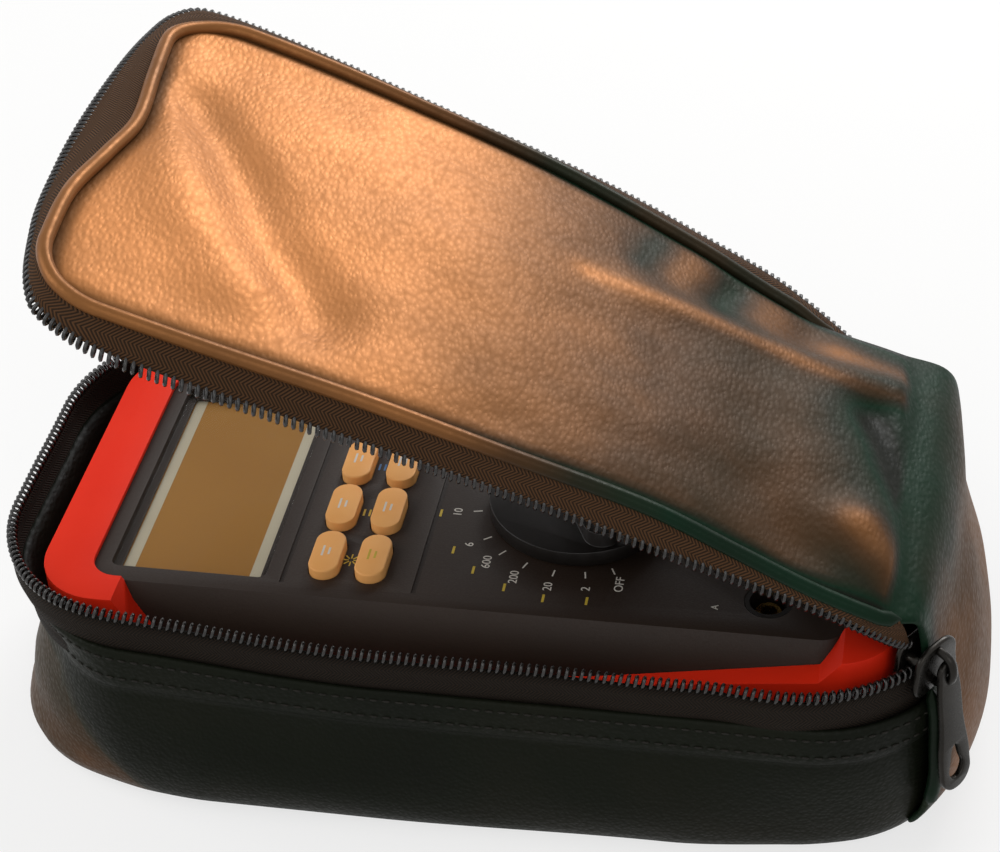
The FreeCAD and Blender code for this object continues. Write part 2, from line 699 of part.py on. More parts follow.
# Holster
HOLSTER_LENGTH = "(meter_length + 2 * holster_end)"
HOLSTER_WIDTH = "(meter_width + 2 * holster_side)"
HOLSTER_TOP = f"({FACE} + holster_lip)"
holster_block = slab("holster_block", HOLSTER_LENGTH, HOLSTER_WIDTH, "holster_corner", FLOOR, HOLSTER_TOP)
round_edges(holster_block, FLOOR, "holster_round")
holster_hollow = meter_form("holster_hollow", "fit_gap", BACK, FACE)
holster_mouth = slab(
    "holster_mouth",
    "meter_length - 2 * bevel_in",
    "meter_width - 2 * bevel_in",
    "meter_corner - bevel_in",
    f"{FACE} - fit_gap",
    f"{HOLSTER_TOP} + fit_gap",
)
relief = doc.addObject("PartDesign::Body", "holster_relief")
relief_sketch = sketch_on(relief, "relief_outline", "XZ_Plane")
draw_polygon(relief_sketch, [
    ("relief_left", f"{FACE} - relief_drop"),
    ("relief_bend", f"{FACE} - relief_drop"),
    ("relief_right", f"{FACE} - relief_right_drop"),
    ("relief_right + relief_slope", f"{HOLSTER_TOP} + holster_lip"),
    ("relief_left - relief_sweep", f"{HOLSTER_TOP} + holster_lip"),
    ("relief_left - relief_sweep", HOLSTER_TOP),
    ("relief_left - 0.8 * relief_sweep", f"{FACE} - 0.3 * relief_drop"),
    ("relief_left - 0.45 * relief_sweep", f"{FACE} - 0.7 * relief_drop"),
])
relief_pad = relief.newObject("PartDesign::Pad", "relief_pad")
relief_pad.Profile = relief_sketch
relief_pad.Midplane = True
bind(relief_pad, "Length", f"{HOLSTER_WIDTH} + holster_side")
piece("holster", cut("boot", holster_block, holster_hollow, holster_mouth, relief))

# Rear cover with its posts, bosses and battery opening
POST_Y = "(post_spread / 2)"
REAR_FLOOR = f"({BACK} + cover_wall)"
DOOR_LEFT = "(battery_left - door_margin)"
DOOR_RIGHT = "(battery_left + battery_length + terminal_thick + door_margin)"
DOOR_WIDTH = "(battery_width + 2 * door_margin)"
DOOR_SCREW_X = f"({DOOR_RIGHT} + door_tab / 2)"
boss_places = [(x, sign) for x in ("left_boss", "right_boss") for sign in ("-", "")]
post_places = [(x, sign) for x in ("left_post", "right_post") for sign in ("-", "")]

rear_block = slab("rear_block", "meter_length", "meter_width", "meter_corner", BACK, PARTING)
round_edges(rear_block, BACK, "rear_round")
rear_hollow = slab(
    "rear_hollow",
    "meter_length - 2 * cover_wall",
    "meter_width - 2 * cover_wall",
    "meter_corner - cover_wall",
    REAR_FLOOR,
    f"{PARTING} + cover_wall",
)
rear_shell = cut(
    "rear_shell",
    rear_block,
    rear_hollow,
    box("door_opening", (DOOR_LEFT, DOOR_RIGHT), across(DOOR_WIDTH), (FLOOR, PARTING)),
    box(
        "door_recess",
        (DOOR_LEFT, f"{DOOR_RIGHT} + door_tab"),
        across(DOOR_WIDTH),
        (FLOOR, f"{BACK} + door_skin"),
    ),
)
rear_rods = [
    rod(f"rear_boss_{index}", x, f"{sign}{BOSS_Y}", REAR_FLOOR, PARTING, "boss_diameter")
    for index, (x, sign) in enumerate(boss_places)
]
rear_rods += [
    rod(f"rear_post_{index}", x, f"{sign}{POST_Y}", REAR_FLOOR, BOARD, "post_diameter")
    for index, (x, sign) in enumerate(post_places)
]
DOOR_BOSS_TOP = f"{REAR_FLOOR} + door_boss_rise"
rear_rods.append(
    rod("door_boss_rod", DOOR_SCREW_X, "0", f"{BACK} + door_skin", DOOR_BOSS_TOP, "door_boss")
)
rear_bores = [
    rod(f"rear_bore_{index}", x, f"{sign}{BOSS_Y}", FLOOR, PARTING, "screw_diameter + 2 * slip")
    for index, (x, sign) in enumerate(boss_places)
]
rear_bores += [
    rod(
        f"rear_head_bore_{index}",
        x,
        f"{sign}{BOSS_Y}",
        FLOOR,
        f"{BACK} + screw_head_height",
        "screw_head + 2 * slip",
    )
    for index, (x, sign) in enumerate(boss_places)
]
rear_bores.append(
    rod("door_bore", DOOR_SCREW_X, "0", FLOOR, f"{REAR_FLOOR} + door_boss_rise", "door_screw + 2 * slip")
)
piece("rear_cover", cut("rear", fuse("rear_whole", rear_shell, *rear_rods), *rear_bores))

# Battery door, its screw and the cover screws
door_skin = box(
    "door_plate",
    (f"{DOOR_LEFT} + fit_gap", f"{DOOR_RIGHT} + door_tab - fit_gap"),
    across(f"{DOOR_WIDTH} - 2 * fit_gap"),
    (BACK, f"{BACK} + door_skin"),
)
door_plug = box(
    "door_plug",
    (f"{DOOR_LEFT} + fit_gap", f"{DOOR_RIGHT} - fit_gap"),
    across(f"{DOOR_WIDTH} - 2 * fit_gap"),
    (f"{BACK} + door_skin", REAR_FLOOR),
)
door_hole = rod("door_hole", DOOR_SCREW_X, "0", FLOOR, PARTING, "door_screw + 2 * slip")
piece("battery_door", cut("door", fuse("door_whole", door_skin, door_plug), door_hole))
piece(
    "battery_door_screw",
    rod("door_screw_rod", DOOR_SCREW_X, "0", BACK, f"{REAR_FLOOR} + door_boss_rise", "door_screw"),
)


def cover_screw(name, x, y):
    shank = rod(name + "_shank", x, y, BACK, f"{PARTING} + screw_reach", "screw_diameter")
    head = rod(name + "_head", x, y, BACK, f"{BACK} + screw_head_height", "screw_head")
    return fuse(name, shank, head)


cover_screws = [
    cover_screw(f"cover_screw_{index}", x, f"{sign}{BOSS_Y}")
    for index, (x, sign) in enumerate(boss_places)
]
piece("cover_screws", group("screws", cover_screws))

# Front cover with its window, key holes, dial hole, jack holes and grooves
key_places = [
    (f"key_column + {column} * key_column_pitch", f"({row}) * key_pitch")
    for column in range(2)
    for row in (-1.5, -0.5, 0.5, 1.5)
]
jack_places = [f"({row}) * jack_pitch" for row in (-1.5, -0.5, 0.5, 1.5)]
WINDOW_SEAT = f"({FACE} - window_sink - window_thick)"
SHROUD_DIAMETER = "(shroud_bore + 2 * shroud_wall)"


def pill(name, grow, low, high, x, y):
    """Pill-shaped slab across the meter, grown by a margin."""
    width = f"(key_width + 2 * ({grow}))"
    return slab(name, width, f"key_length + 2 * ({grow})", f"{width} / 2 - slip", low, high, x, y)


ABOVE_FACE = f"({FACE} + cover_wall)"
front_cuts = [
    slab(
        "window_recess",
        "window_length",
        "window_width",
        "window_corner",
        WINDOW_SEAT,
        ABOVE_FACE,
        x=WINDOW_X,
    ),
    box(
        "window_opening",
        across("window_length - 2 * window_ledge", WINDOW_X),
        across("window_width - 2 * window_ledge"),
        (PARTING, FACE),
    ),
    rod("dial_hole", "dial_place", "0", PARTING, ABOVE_FACE, "shaft_diameter + 2 * running_gap"),
]
front_cuts += [
    pill(f"key_hole_{index}", "key_slack", PARTING, ABOVE_FACE, x, y)
    for index, (x, y) in enumerate(key_places)
]
front_cuts += [
    rod(f"jack_hole_{index}", "jack_place", y, PARTING, ABOVE_FACE, f"{SHROUD_DIAMETER} + 2 * slip")
    for index, y in enumerate(jack_places)
]
front_cuts += [
    box(
        f"{place}_cut",
        across("groove_width", place),
        across("groove_length"),
        (f"{FACE} - groove_depth", ABOVE_FACE),
    )
    for place in ("left_groove", "right_groove")
]
front_shell = cut(
    "front_shell",
    meter_form("front_block", "0", PARTING, FACE),
    meter_form("front_hollow", "-cover_wall", PARTING, ROOF),
    *front_cuts,
)
front_rods = [
    rod(f"front_boss_{index}", x, f"{sign}{BOSS_Y}", PARTING, f"{PARTING} + boss_rise", "boss_diameter")
    for index, (x, sign) in enumerate(boss_places)
]
front_rods += [
    rod(f"front_post_{index}", x, f"{sign}{POST_Y}", BOARD_TOP, ROOF, "post_diameter")
    for index, (x, sign) in enumerate(post_places)
]
front_bores = [
    rod(
        f"front_bore_{index}",
        x,
        f"{sign}{BOSS_Y}",
        PARTING,
        f"{PARTING} + screw_reach + slip",
        "screw_diameter + 2 * slip",
    )
    for index, (x, sign) in enumerate(boss_places)
]
piece("front_cover", cut("front", fuse("front_whole", front_shell, *front_rods), *front_bores))

# Circuit board
circuit = slab(
    "circuit",
    "circuit_right - circuit_left",
    "circuit_width",
    "window_corner",
    BOARD,
    BOARD_TOP,
    x="(circuit_left + circuit_right) / 2",
)
piece("circuit_board", circuit)

# Display stack
FRAME_LENGTH = "(window_length + 2 * frame_wall)"
FRAME_WIDTH = "(window_width + 2 * frame_wall)"
LCD_TOP = f"({ROOF} - running_gap)"
LCD_FOOT = f"({LCD_TOP} - lcd_thick)"
window_pane = slab(
    "window_pane",
    "window_length - 2 * fit_gap",
    "window_width - 2 * fit_gap",
    "window_corner - fit_gap",
    WINDOW_SEAT,
    f"{FACE} - window_sink",
    x=WINDOW_X,
)
piece("display_window", window_pane)
frame_block = box("frame_block", across(FRAME_LENGTH, WINDOW_X), across(FRAME_WIDTH), (BOARD_TOP, LCD_TOP))
frame_hollow = box("frame_hollow", across("window_length", WINDOW_X), across("window_width"), (BOARD, FACE))
piece("lcd_frame", cut("display_frame", frame_block, frame_hollow))
lcd = box(
    "lcd",
    across("window_length - 2 * fit_gap", WINDOW_X),
    across("window_width - 2 * fit_gap"),
    (LCD_FOOT, LCD_TOP),
)
piece("lcd_panel", lcd)
backlight = box(
    "backlight",
    across("window_length - 2 * zebra_thick - 4 * fit_gap", WINDOW_X),
    across("window_width - 2 * fit_gap"),
    (f"{LCD_FOOT} - backlight_thick", LCD_FOOT),
)
piece("backlight_panel", backlight)
ZEBRA_REACH = "(window_length / 2 - fit_gap - zebra_thick / 2)"
zebras = [
    box(
        f"zebra_{side}",
        across("zebra_thick", f"{WINDOW_X} {sign} {ZEBRA_REACH}"),
        across("window_width - 2 * fit_gap"),
        (BOARD_TOP, LCD_FOOT),
    )
    for side, sign in (("left", "-"), ("right", "+"))
]
piece("zebra_strips", group("zebras", zebras))

# Keys and the rubber mat under them
MAT_FOOT = f"({BOARD_TOP} + mat_height)"
MAT_TOP = f"({MAT_FOOT} + mat_thick)"
KEY_SHOULDER = f"({ROOF} - running_gap)"
mat_sheet = slab(
    "mat_sheet",
    "mat_length",
    "mat_width",
    "window_corner",
    MAT_FOOT,
    MAT_TOP,
    x="key_column + key_column_pitch / 2",
)
domes = [
    rod(f"dome_{index}", x, y, BOARD_TOP, MAT_FOOT, "dome_diameter")
    for index, (x, y) in enumerate(key_places)
]
piece("keypad_mat", fuse("mat", mat_sheet, *domes))


def key(name, x, y):
    """Pill cap, the flange that keeps it in, and the stem that meets the mat."""
    cap = pill(name + "_cap", "0", KEY_SHOULDER, f"{FACE} + key_proud", x, y)
    flange = pill(name + "_flange", "key_flange", f"{KEY_SHOULDER} - key_flange_thick", KEY_SHOULDER, x, y)
    stem = rod(name + "_stem", x, y, f"{MAT_TOP} + key_travel + slip", KEY_SHOULDER, "key_stem")
    return fuse(name + "_whole", cap, flange, stem)


for index, (x, y) in enumerate(key_places, start=1):
    piece(f"key_{index}", key(f"pill_{index}", x, y))

# Selector, drawn with its pointer along X and then turned to where it stands
dial_point = Vector(number("dial_place"), 0, 0)
dial_turn = Rotation(Vector(0, 0, 1), number("knob_rest_angle"))
at_mark = Placement(Vector(), dial_turn, dial_point)
KNOB_FOOT = f"({FACE} + running_gap)"
KNOB_TOP = f"({FACE} + knob_height)"
ROTOR_FOOT = f"({BOARD_TOP} + running_gap + contact_thick)"
ROTOR_TOP = f"({ROTOR_FOOT} + rotor_thick)"
GRIP_END = "(dial_place + grip_length / 2)"

knob_disc = rod("knob_disc", "dial_place", "0", KNOB_FOOT, f"{KNOB_FOOT} + knob_thick", "knob_diameter")
knob_grip = slab(
    "knob_grip",
    "grip_length",
    "grip_width",
    "grip_width / 2 - slip",
    f"{KNOB_FOOT} + knob_thick",
    KNOB_TOP,
    x="dial_place",
)
knob_shaft = rod("knob_shaft", "dial_place", "0", ROTOR_TOP, KNOB_FOOT, "shaft_diameter")
pointer_span = (
    (f"{GRIP_END} - pointer_margin - pointer_length", f"{GRIP_END} - pointer_margin"),
    across("pointer_width"),
    (f"{KNOB_TOP} - pointer_depth", KNOB_TOP),
)
knob_body = fuse("knob_body", knob_disc, knob_grip, knob_shaft)
piece("selector_knob", cut("knob", knob_body, box("pointer_slot", *pointer_span)), at_mark)
pointer = box("pointer", *pointer_span)
piece("knob_pointer", group("pointer_whole", [pointer]), at_mark)
piece(
    "selector_rotor",
    rod("rotor", "dial_place", "0", ROTOR_FOOT, ROTOR_TOP, "rotor_diameter"),
)
contacts = []
for index in range(int(number("contact_count"))):
    blade = box(
        f"contact_{index}",
        across("contact_length", "dial_place + rotor_diameter / 2 - contact_length / 2 - slip"),
        across("contact_width"),
        (f"{BOARD_TOP} + running_gap", ROTOR_FOOT),
    )
    turned = group(f"contact_blade_{index}", [blade])
    turned.Placement = Placement(
        Vector(),
        Rotation(Vector(0, 0, 1), index * 360.0 / number("contact_count")),
        dial_point,
    )
    contacts.append(turned)
piece("rotor_contacts", group("contacts", contacts))

# Input jacks in their shrouds
JACK_TOP = f"({FACE} - jack_recess)"
for index, y in enumerate(jack_places, start=1):
    tube = rod(f"jack_tube_{index}", "jack_place", y, BOARD_TOP, JACK_TOP, "jack_diameter")
    bore = rod(f"jack_bore_{index}", "jack_place", y, BOARD_TOP, JACK_TOP, "jack_bore")
    piece(f"input_jack_{index}", cut(f"jack_{index}", tube, bore))
shrouds = [
    cut(
        f"shroud_{index}",
        rod(f"shroud_tube_{index}", "jack_place", y, BOARD_TOP, FACE, SHROUD_DIAMETER),
        rod(f"shroud_bore_{index}", "jack_place", y, BOARD_TOP, FACE, "shroud_bore"),
    )
    for index, y in enumerate(jack_places, start=1)
]
piece("jack_shrouds", group("shrouds", shrouds))

# Battery and its terminals, which hang from the board
battery = slab(
    "battery_block",
    "battery_length",
    "battery_width",
    "battery_corner",
    REAR_FLOOR,
    f"{REAR_FLOOR} + battery_depth",
    x="battery_left + battery_length / 2",
)
piece("battery", battery)
terminals = box(
    "terminal_block",
    ("battery_left + battery_length", "battery_left + battery_length + terminal_thick"),
    across("battery_width"),
    (f"{REAR_FLOOR} + fit_gap", BOARD),
)
piece("battery_terminals", terminals)

# Fuses in their clips, shunt, chip and buzzer, all under the board
FUSE_Z = f"({BOARD} - fuse_drop - fuse_diameter / 2)"
CLIP_REACH = "(fuse_length / 2 - clip_length / 2)"
CLIP_SIZE = "(fuse_diameter + 2 * clip_wall)"


def fuse_rod(name, sign, span, diameter):
    """Cylinder along X on a fuse's line."""
    solid = doc.addObject("Part::Cylinder", name)
    bind(solid, "Radius", f"({diameter}) / 2")
    bind(solid, "Height", span)
    solid.Placement.Rotation = Rotation(Vector(0, 1, 0), 90)
    places = (f"fuse_place - ({span}) / 2", f"{sign}fuse_spread / 2", FUSE_Z)
    for axis, place in zip("xyz", places):
        bind(solid, f"Placement.Base.{axis}", place)
    return solid


def fuse_clip(name, sign, end):
    block = box(
        name + "_block",
        across("clip_length", f"fuse_place {end} {CLIP_REACH}"),
        across(CLIP_SIZE, f"{sign}fuse_spread / 2"),
        (f"{FUSE_Z} - fuse_diameter / 4", BOARD),
    )
    return cut(name, block, fuse_rod(name + "_bore", sign, "fuse_length", "fuse_diameter + 2 * slip"))


piece("fuses", group("fuse_pair", both_sides(
    "fuse_tube", lambda name, sign: fuse_rod(name, sign, "fuse_length", "fuse_diameter"))))
clips = [
    fuse_clip(f"clip_{side}_{place}", sign, end)
    for side, sign in (("near", "-"), ("far", ""))
    for place, end in (("left", "-"), ("right", "+"))
]
piece("fuse_clips", group("clips", clips))

shunt_legs = both_sides("shunt_leg", lambda name, sign: box(
    name,
    across("shunt_wire", "shunt_place"),
    across("shunt_wire", f"{sign}shunt_span / 2"),
    (f"{BOARD} - shunt_drop", BOARD),
))
shunt_bridge = box(
    "shunt_bridge",
    across("shunt_wire", "shunt_place"),
    across("shunt_span"),
    (f"{BOARD} - shunt_drop", f"{BOARD} - shunt_drop + shunt_wire"),
)
piece("current_shunt", fuse("shunt", shunt_bridge, *shunt_legs))
CHIP_DEPTH = (f"{BOARD} - chip_thick", BOARD)
chip = box("chip", across("chip_size", "chip_place"), across("chip_size"), CHIP_DEPTH)
piece("measuring_chip", chip)
piece("buzzer", rod("buzzer_disc", "buzzer_place", "0", f"{BOARD} - buzzer_thick", BOARD, "buzzer_diameter"))

# Check the document, then write each sub-part
doc.recompute()
failed = [item.Label for item in doc.Objects if {"Invalid", "Error"} & set(item.State)]
failed += [item.Label for item in PIECES if item.Shape.isNull() or not item.Shape.isValid()]
if failed:
    raise RuntimeError("failed objects: " + ", ".join(failed))
os.makedirs("parts", exist_ok=True)
for item in PIECES:
    item.Shape.exportStep(f"parts/{item.Label}.step")
    print(item.Label, len(item.Shape.Solids), round(item.Shape.Volume, 1))
print(len(PIECES), "sub-parts")
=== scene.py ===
# %% [markdown]
# # A multimeter in its soft zip case
#
# The part is a handheld meter in a red rubber holster. It lies in a black leatherette case with a
# zipper round three sides, and the lid stands ajar on a fold of the same leather. The imported model
# comes first: it fixes where every piece sits. Most pieces made here are hung on the body that they
# move with. The hard pieces keep their built shape and get a finish, and the soft ones are lofted
# here over their plain solids.

# %% Load the imported frame
import json
import math

import bmesh
import bpy
from mathutils import Matrix, Vector, noise


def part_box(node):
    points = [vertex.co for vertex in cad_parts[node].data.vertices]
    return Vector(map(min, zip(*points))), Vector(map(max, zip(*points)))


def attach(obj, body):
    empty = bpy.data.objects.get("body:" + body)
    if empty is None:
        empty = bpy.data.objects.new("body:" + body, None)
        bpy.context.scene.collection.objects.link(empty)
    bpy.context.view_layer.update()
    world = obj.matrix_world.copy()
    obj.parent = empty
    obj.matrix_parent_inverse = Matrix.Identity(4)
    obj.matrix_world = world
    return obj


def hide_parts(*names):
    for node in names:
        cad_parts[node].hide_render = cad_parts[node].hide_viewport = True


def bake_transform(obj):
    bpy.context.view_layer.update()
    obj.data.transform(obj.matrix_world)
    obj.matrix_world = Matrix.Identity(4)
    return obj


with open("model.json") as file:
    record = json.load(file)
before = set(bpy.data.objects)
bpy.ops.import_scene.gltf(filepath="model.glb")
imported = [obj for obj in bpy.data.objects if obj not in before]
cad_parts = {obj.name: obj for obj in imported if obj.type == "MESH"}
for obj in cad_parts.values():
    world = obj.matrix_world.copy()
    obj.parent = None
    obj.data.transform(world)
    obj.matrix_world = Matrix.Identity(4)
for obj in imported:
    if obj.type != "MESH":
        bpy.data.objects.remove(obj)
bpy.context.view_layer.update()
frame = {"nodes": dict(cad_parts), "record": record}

MM = 0.001

# %% [markdown]
# ## Camera
#
# The photograph looks down on the near long side from a little to the right. Its angles and focal
# length were worked out from the case's outlines, so the camera is set from them and then left alone.

# %% Camera
AZIMUTH, ELEVATION, ROLL = (math.radians(v) for v in (12.259, 38.029, -3.396))
CAMERA_PLACE = (0.100063, -0.44181, 0.433561)
PHOTO_WIDTH_PX, FOCAL_PX = 1000, 2410.9
SENSOR_MM = 36.0


def placed(name, data):
    """A new object in the scene, at the origin."""
    obj = bpy.data.objects.new(name, data)
    bpy.context.scene.collection.objects.link(obj)
    return obj


back = Vector((
    math.sin(AZIMUTH) * math.cos(ELEVATION),
    -math.cos(AZIMUTH) * math.cos(ELEVATION),
    math.sin(ELEVATION),
))
level = Vector((math.cos(AZIMUTH), math.sin(AZIMUTH), 0))
upright = back.cross(level)
right = math.cos(ROLL) * level + math.sin(ROLL) * upright
up = math.cos(ROLL) * upright - math.sin(ROLL) * level
camera_data = bpy.data.cameras.new("photo_camera")
camera_data.sensor_fit = "HORIZONTAL"
camera_data.sensor_width = SENSOR_MM
camera_data.lens = SENSOR_MM * FOCAL_PX / PHOTO_WIDTH_PX
camera_data.clip_start = 0.02
camera = placed("photo_camera", camera_data)
camera.matrix_world = Matrix((right, up, back)).transposed().to_4x4()
camera.location = CAMERA_PLACE
bpy.context.scene.camera = camera
print("lens:", round(camera_data.lens, 1), "mm")

# %% [markdown]
# ## One function for nodes, one for colours
#
# Every finish below is a small tree of shader nodes. One function adds a node with its settings and
# links, and one turns the sRGB hex values that people write into the linear values that shaders use.

# %% Colour and node helpers
def linear(code):
    """sRGB hex colour as a linear colour."""
    parts = [int(code[i:i + 2], 16) / 255 for i in (1, 3, 5)]
    return [v / 12.92 if v <= 0.04045 else ((v + 0.055) / 1.055) ** 2.4 for v in parts] + [1.0]


def link(tree, node, sources):
    """Link output sockets into a node's inputs."""
    for key, source in dict(sources).items():
        tree.links.new(source, node.inputs[key])


def add(tree, kind, settings=(), values=(), links=()):
    """Add a node, set its properties and socket values, and link sockets into it."""
    node = tree.nodes.new(kind)
    for key, value in dict(settings).items():
        setattr(node, key, value)
    for key, value in dict(values).items():
        node.inputs[key].default_value = value
    link(tree, node, links)
    return node


def new_finish(name, **values):
    """A material with its shader's plain values set, ready for more nodes."""
    material = bpy.data.materials.new(name)
    material.use_nodes = True
    shader = material.node_tree.nodes["Principled BSDF"]
    for key, value in values.items():
        shader.inputs[key.replace("_", " ")].default_value = value
    return material, material.node_tree, shader


print("middle grey as a linear value:", round(linear("#808080")[0], 3))

# %% [markdown]
# ## Floor, world and lamps
#
# The object stands on a plain white floor in soft light. A large lamp behind the case gives the long
# sheen on the lid, and two weaker ones, at the left and in front, open the shadows. The floor shows
# the camera mostly its own white, so it stays white to the horizon and still takes the case's shadow.

# %% Floor and world
FILL_LIGHT, FLOOR_GLOW, FLOOR_SIZE = 0.34, 0.72, 6


def studio_rays(tree):
    """1 for rays that should see the white background, 0 for the light that falls on the object."""
    path = add(tree, "ShaderNodeLightPath")
    seen = add(tree, "ShaderNodeMath", {"operation": "MAXIMUM"}, links={
        0: path.outputs["Is Camera Ray"], 1: path.outputs["Is Transmission Ray"]})
    return add(tree, "ShaderNodeMath", {"operation": "MAXIMUM"}, links={
        0: seen.outputs[0], 1: path.outputs["Is Glossy Ray"]}).outputs[0]


world = bpy.data.worlds.new("studio")
bpy.context.scene.world = world
world.use_nodes = True
sky = world.node_tree
background = sky.nodes["Background"]
background.inputs["Color"].default_value = (1, 1, 1, 1)
strength = add(sky, "ShaderNodeMapRange", values={"To Min": FILL_LIGHT, "To Max": 1.0},
               links={"Value": studio_rays(sky)})
link(sky, background, {"Strength": strength.outputs[0]})

floor_finish, tree, shader = new_finish("studio_floor", Base_Color=linear("#f2f1ef"), Roughness=0.9)
glow = add(tree, "ShaderNodeEmission", values={"Color": (1, 1, 1, 1), "Strength": 1.0})
share = add(tree, "ShaderNodeMath", {"operation": "MULTIPLY"}, {1: FLOOR_GLOW}, {0: studio_rays(tree)})
mixed = add(tree, "ShaderNodeMixShader", links={
    0: share.outputs[0], 1: shader.outputs[0], 2: glow.outputs[0]})
link(tree, tree.nodes["Material Output"], {"Surface": mixed.outputs[0]})
bpy.ops.mesh.primitive_plane_add(size=FLOOR_SIZE)
floor = bpy.context.object
floor.name = "studio_floor"
floor.data.materials.append(floor_finish)
print("floor:", [round(v, 1) for v in floor.dimensions], "m")


# %% Lamps
def lamp(name, place, aim, width, height, power):
    """A rectangular lamp turned to its aim; places and sizes in metres, power in watts."""
    data = bpy.data.lights.new(name, "AREA")
    data.shape = "RECTANGLE"
    data.size, data.size_y, data.energy = width, height, power
    obj = placed(name, data)
    obj.location = place
    obj.rotation_euler = (Vector(aim) - Vector(place)).to_track_quat("-Z", "Y").to_euler()


lamp("back_window", (0.30, 0.98, 0.74), (-0.03, 0, 0.12), 0.55, 0.5, 9)
lamp("left_soft", (-0.9, -0.1, 0.75), (0, 0, 0.05), 0.7, 0.7, 5)
lamp("front_soft", (0.3, -0.9, 0.9), (0, 0, 0.05), 0.8, 0.8, 3)
print("lamps:", len(bpy.data.lights))

# %% [markdown]
# ## Finish: pebbled leatherette
#
# The case is vinyl-coated cloth, embossed with a fine pebble grain, and its own colour is nearly black.
# The bronze sheen and the green in the folds are painted reflections of the light on it. An attribute,
# painted on the mesh, says how much of that painted sheen shows, in the colour and as a little metal.
# The grain is about 1 mm across and runs longer across the case than along it.

# %% Leatherette
CLOUD_MM, EMBOSSED_MM = 45, 0.35
# Painted sheen: how unevenly it shows over broad patches, and how metallic it makes the leather where it
# shows.
UNEVEN_SHEEN, SHEEN_METAL = 0.08, 0.45


def leatherette(name, grain_mm, depth, roughness, low_sheen_colour):
    """Embossed near-black vinyl with a painted sheen; the last argument is the colour of the painted
    reflection where a little sheen shows, as in the lid's folds.
    """
    material, tree, shader = new_finish(name, IOR=1.45, Specular_IOR_Level=0.08)
    spot = add(tree, "ShaderNodeTexCoord").outputs["Object"]
    stretch = add(tree, "ShaderNodeMapping", values={"Scale": (1.0, 0.55, 1.0)}, links={"Vector": spot})
    sheen_amount = add(tree, "ShaderNodeAttribute", {"attribute_name": "painted_sheen"}).outputs["Fac"]
    cloud = add(tree, "ShaderNodeTexNoise", values={"Scale": 1 / (CLOUD_MM * MM), "Detail": 3.0},
                links={"Vector": spot})
    spread = add(tree, "ShaderNodeMapRange", links={"Value": cloud.outputs[0]}, values={
        "From Min": 0.3, "From Max": 0.7, "To Min": -UNEVEN_SHEEN, "To Max": UNEVEN_SHEEN})
    shown = add(tree, "ShaderNodeMath", {"operation": "ADD", "use_clamp": True},
                links={0: sheen_amount, 1: spread.outputs[0]})
    # The leather's own near-black at 0; above it painted reflections: green or brown in the folds, then the
    # bronze sheen.
    colour = add(tree, "ShaderNodeValToRGB", links={"Fac": shown.outputs[0]})
    ramp = colour.color_ramp
    ramp.elements[0].position, ramp.elements[0].color = 0.0, linear("#0a0b07")
    ramp.elements[1].position, ramp.elements[1].color = 1.0, linear("#b87a48")
    stops = ((0.15, "#12150d"), (0.30, low_sheen_colour), (0.42, "#26251a"), (0.56, "#4a331f"), (0.78, "#865831"))
    for place, code in stops:
        ramp.elements.new(place).color = linear(code)
    pebble = add(tree, "ShaderNodeTexVoronoi", {"feature": "SMOOTH_F1"},
                 {"Scale": 1 / (grain_mm * MM), "Smoothness": 0.6}, {"Vector": stretch.outputs[0]})
    crease = add(tree, "ShaderNodeTexNoise", links={"Vector": stretch.outputs[0]}, values={
        "Scale": 1 / (2.2 * grain_mm * MM), "Detail": 5.0, "Distortion": 1.2})
    height = add(tree, "ShaderNodeMath", {"operation": "MULTIPLY_ADD"}, {1: 0.8},
                 {0: crease.outputs[0], 2: pebble.outputs[0]})
    relief = add(tree, "ShaderNodeBump", values={"Strength": depth, "Distance": EMBOSSED_MM * MM},
                 links={"Height": height.outputs[0]})
    dull = add(tree, "ShaderNodeMapRange", links={"Value": pebble.outputs[0]}, values={
        "From Min": 0.0, "From Max": 0.9, "To Min": roughness - 0.08, "To Max": roughness + 0.1})
    # The painted sheen also makes the leather a little metallic, so it reflects the lamps as bronze.
    metal = add(tree, "ShaderNodeMath", {"operation": "MULTIPLY"}, {1: SHEEN_METAL}, {0: shown.outputs[0]})
    link(tree, shader, {"Base Color": colour.outputs[0], "Metallic": metal.outputs[0],
                        "Roughness": dull.outputs[0], "Normal": relief.outputs[0]})
    return material


# Lid and end wall: nearly black, with a painted green reflection in the folds and a painted bronze sheen
# where the light falls.
case_leather = leatherette("pebbled_leatherette", 1.0, 0.32, 0.46, "#10281a")
# Tray: the same grain; where a little painted sheen shows, it is brown in place of the green.
tray_finish = leatherette("pebbled_tray_leatherette", 1.0, 0.32, 0.46, "#1b1a12")
# Cords: the vinyl is stretched, so its grain is shallow and it shines more.
piping_leather = leatherette("smooth_leatherette_cord", 1.2, 0.12, 0.36, "#10281a")
print("leatherette finishes:", case_leather.name, tray_finish.name, piping_leather.name)

# %% [markdown]
# ## Finish: herringbone tape
#
# Zipper tape is woven with a chevron twill. The strip carries a UV map in metres, one axis along the
# tape and one across it, so the chevrons follow it round the corners. Real threads are 0.3 mm apart,
# too fine to show here, so the ribs are drawn 0.9 mm apart.

# %% Tape
RIB_MM, CHEVRON_MM, RIB_HEIGHT_MM = 0.9, 2.2, 0.25


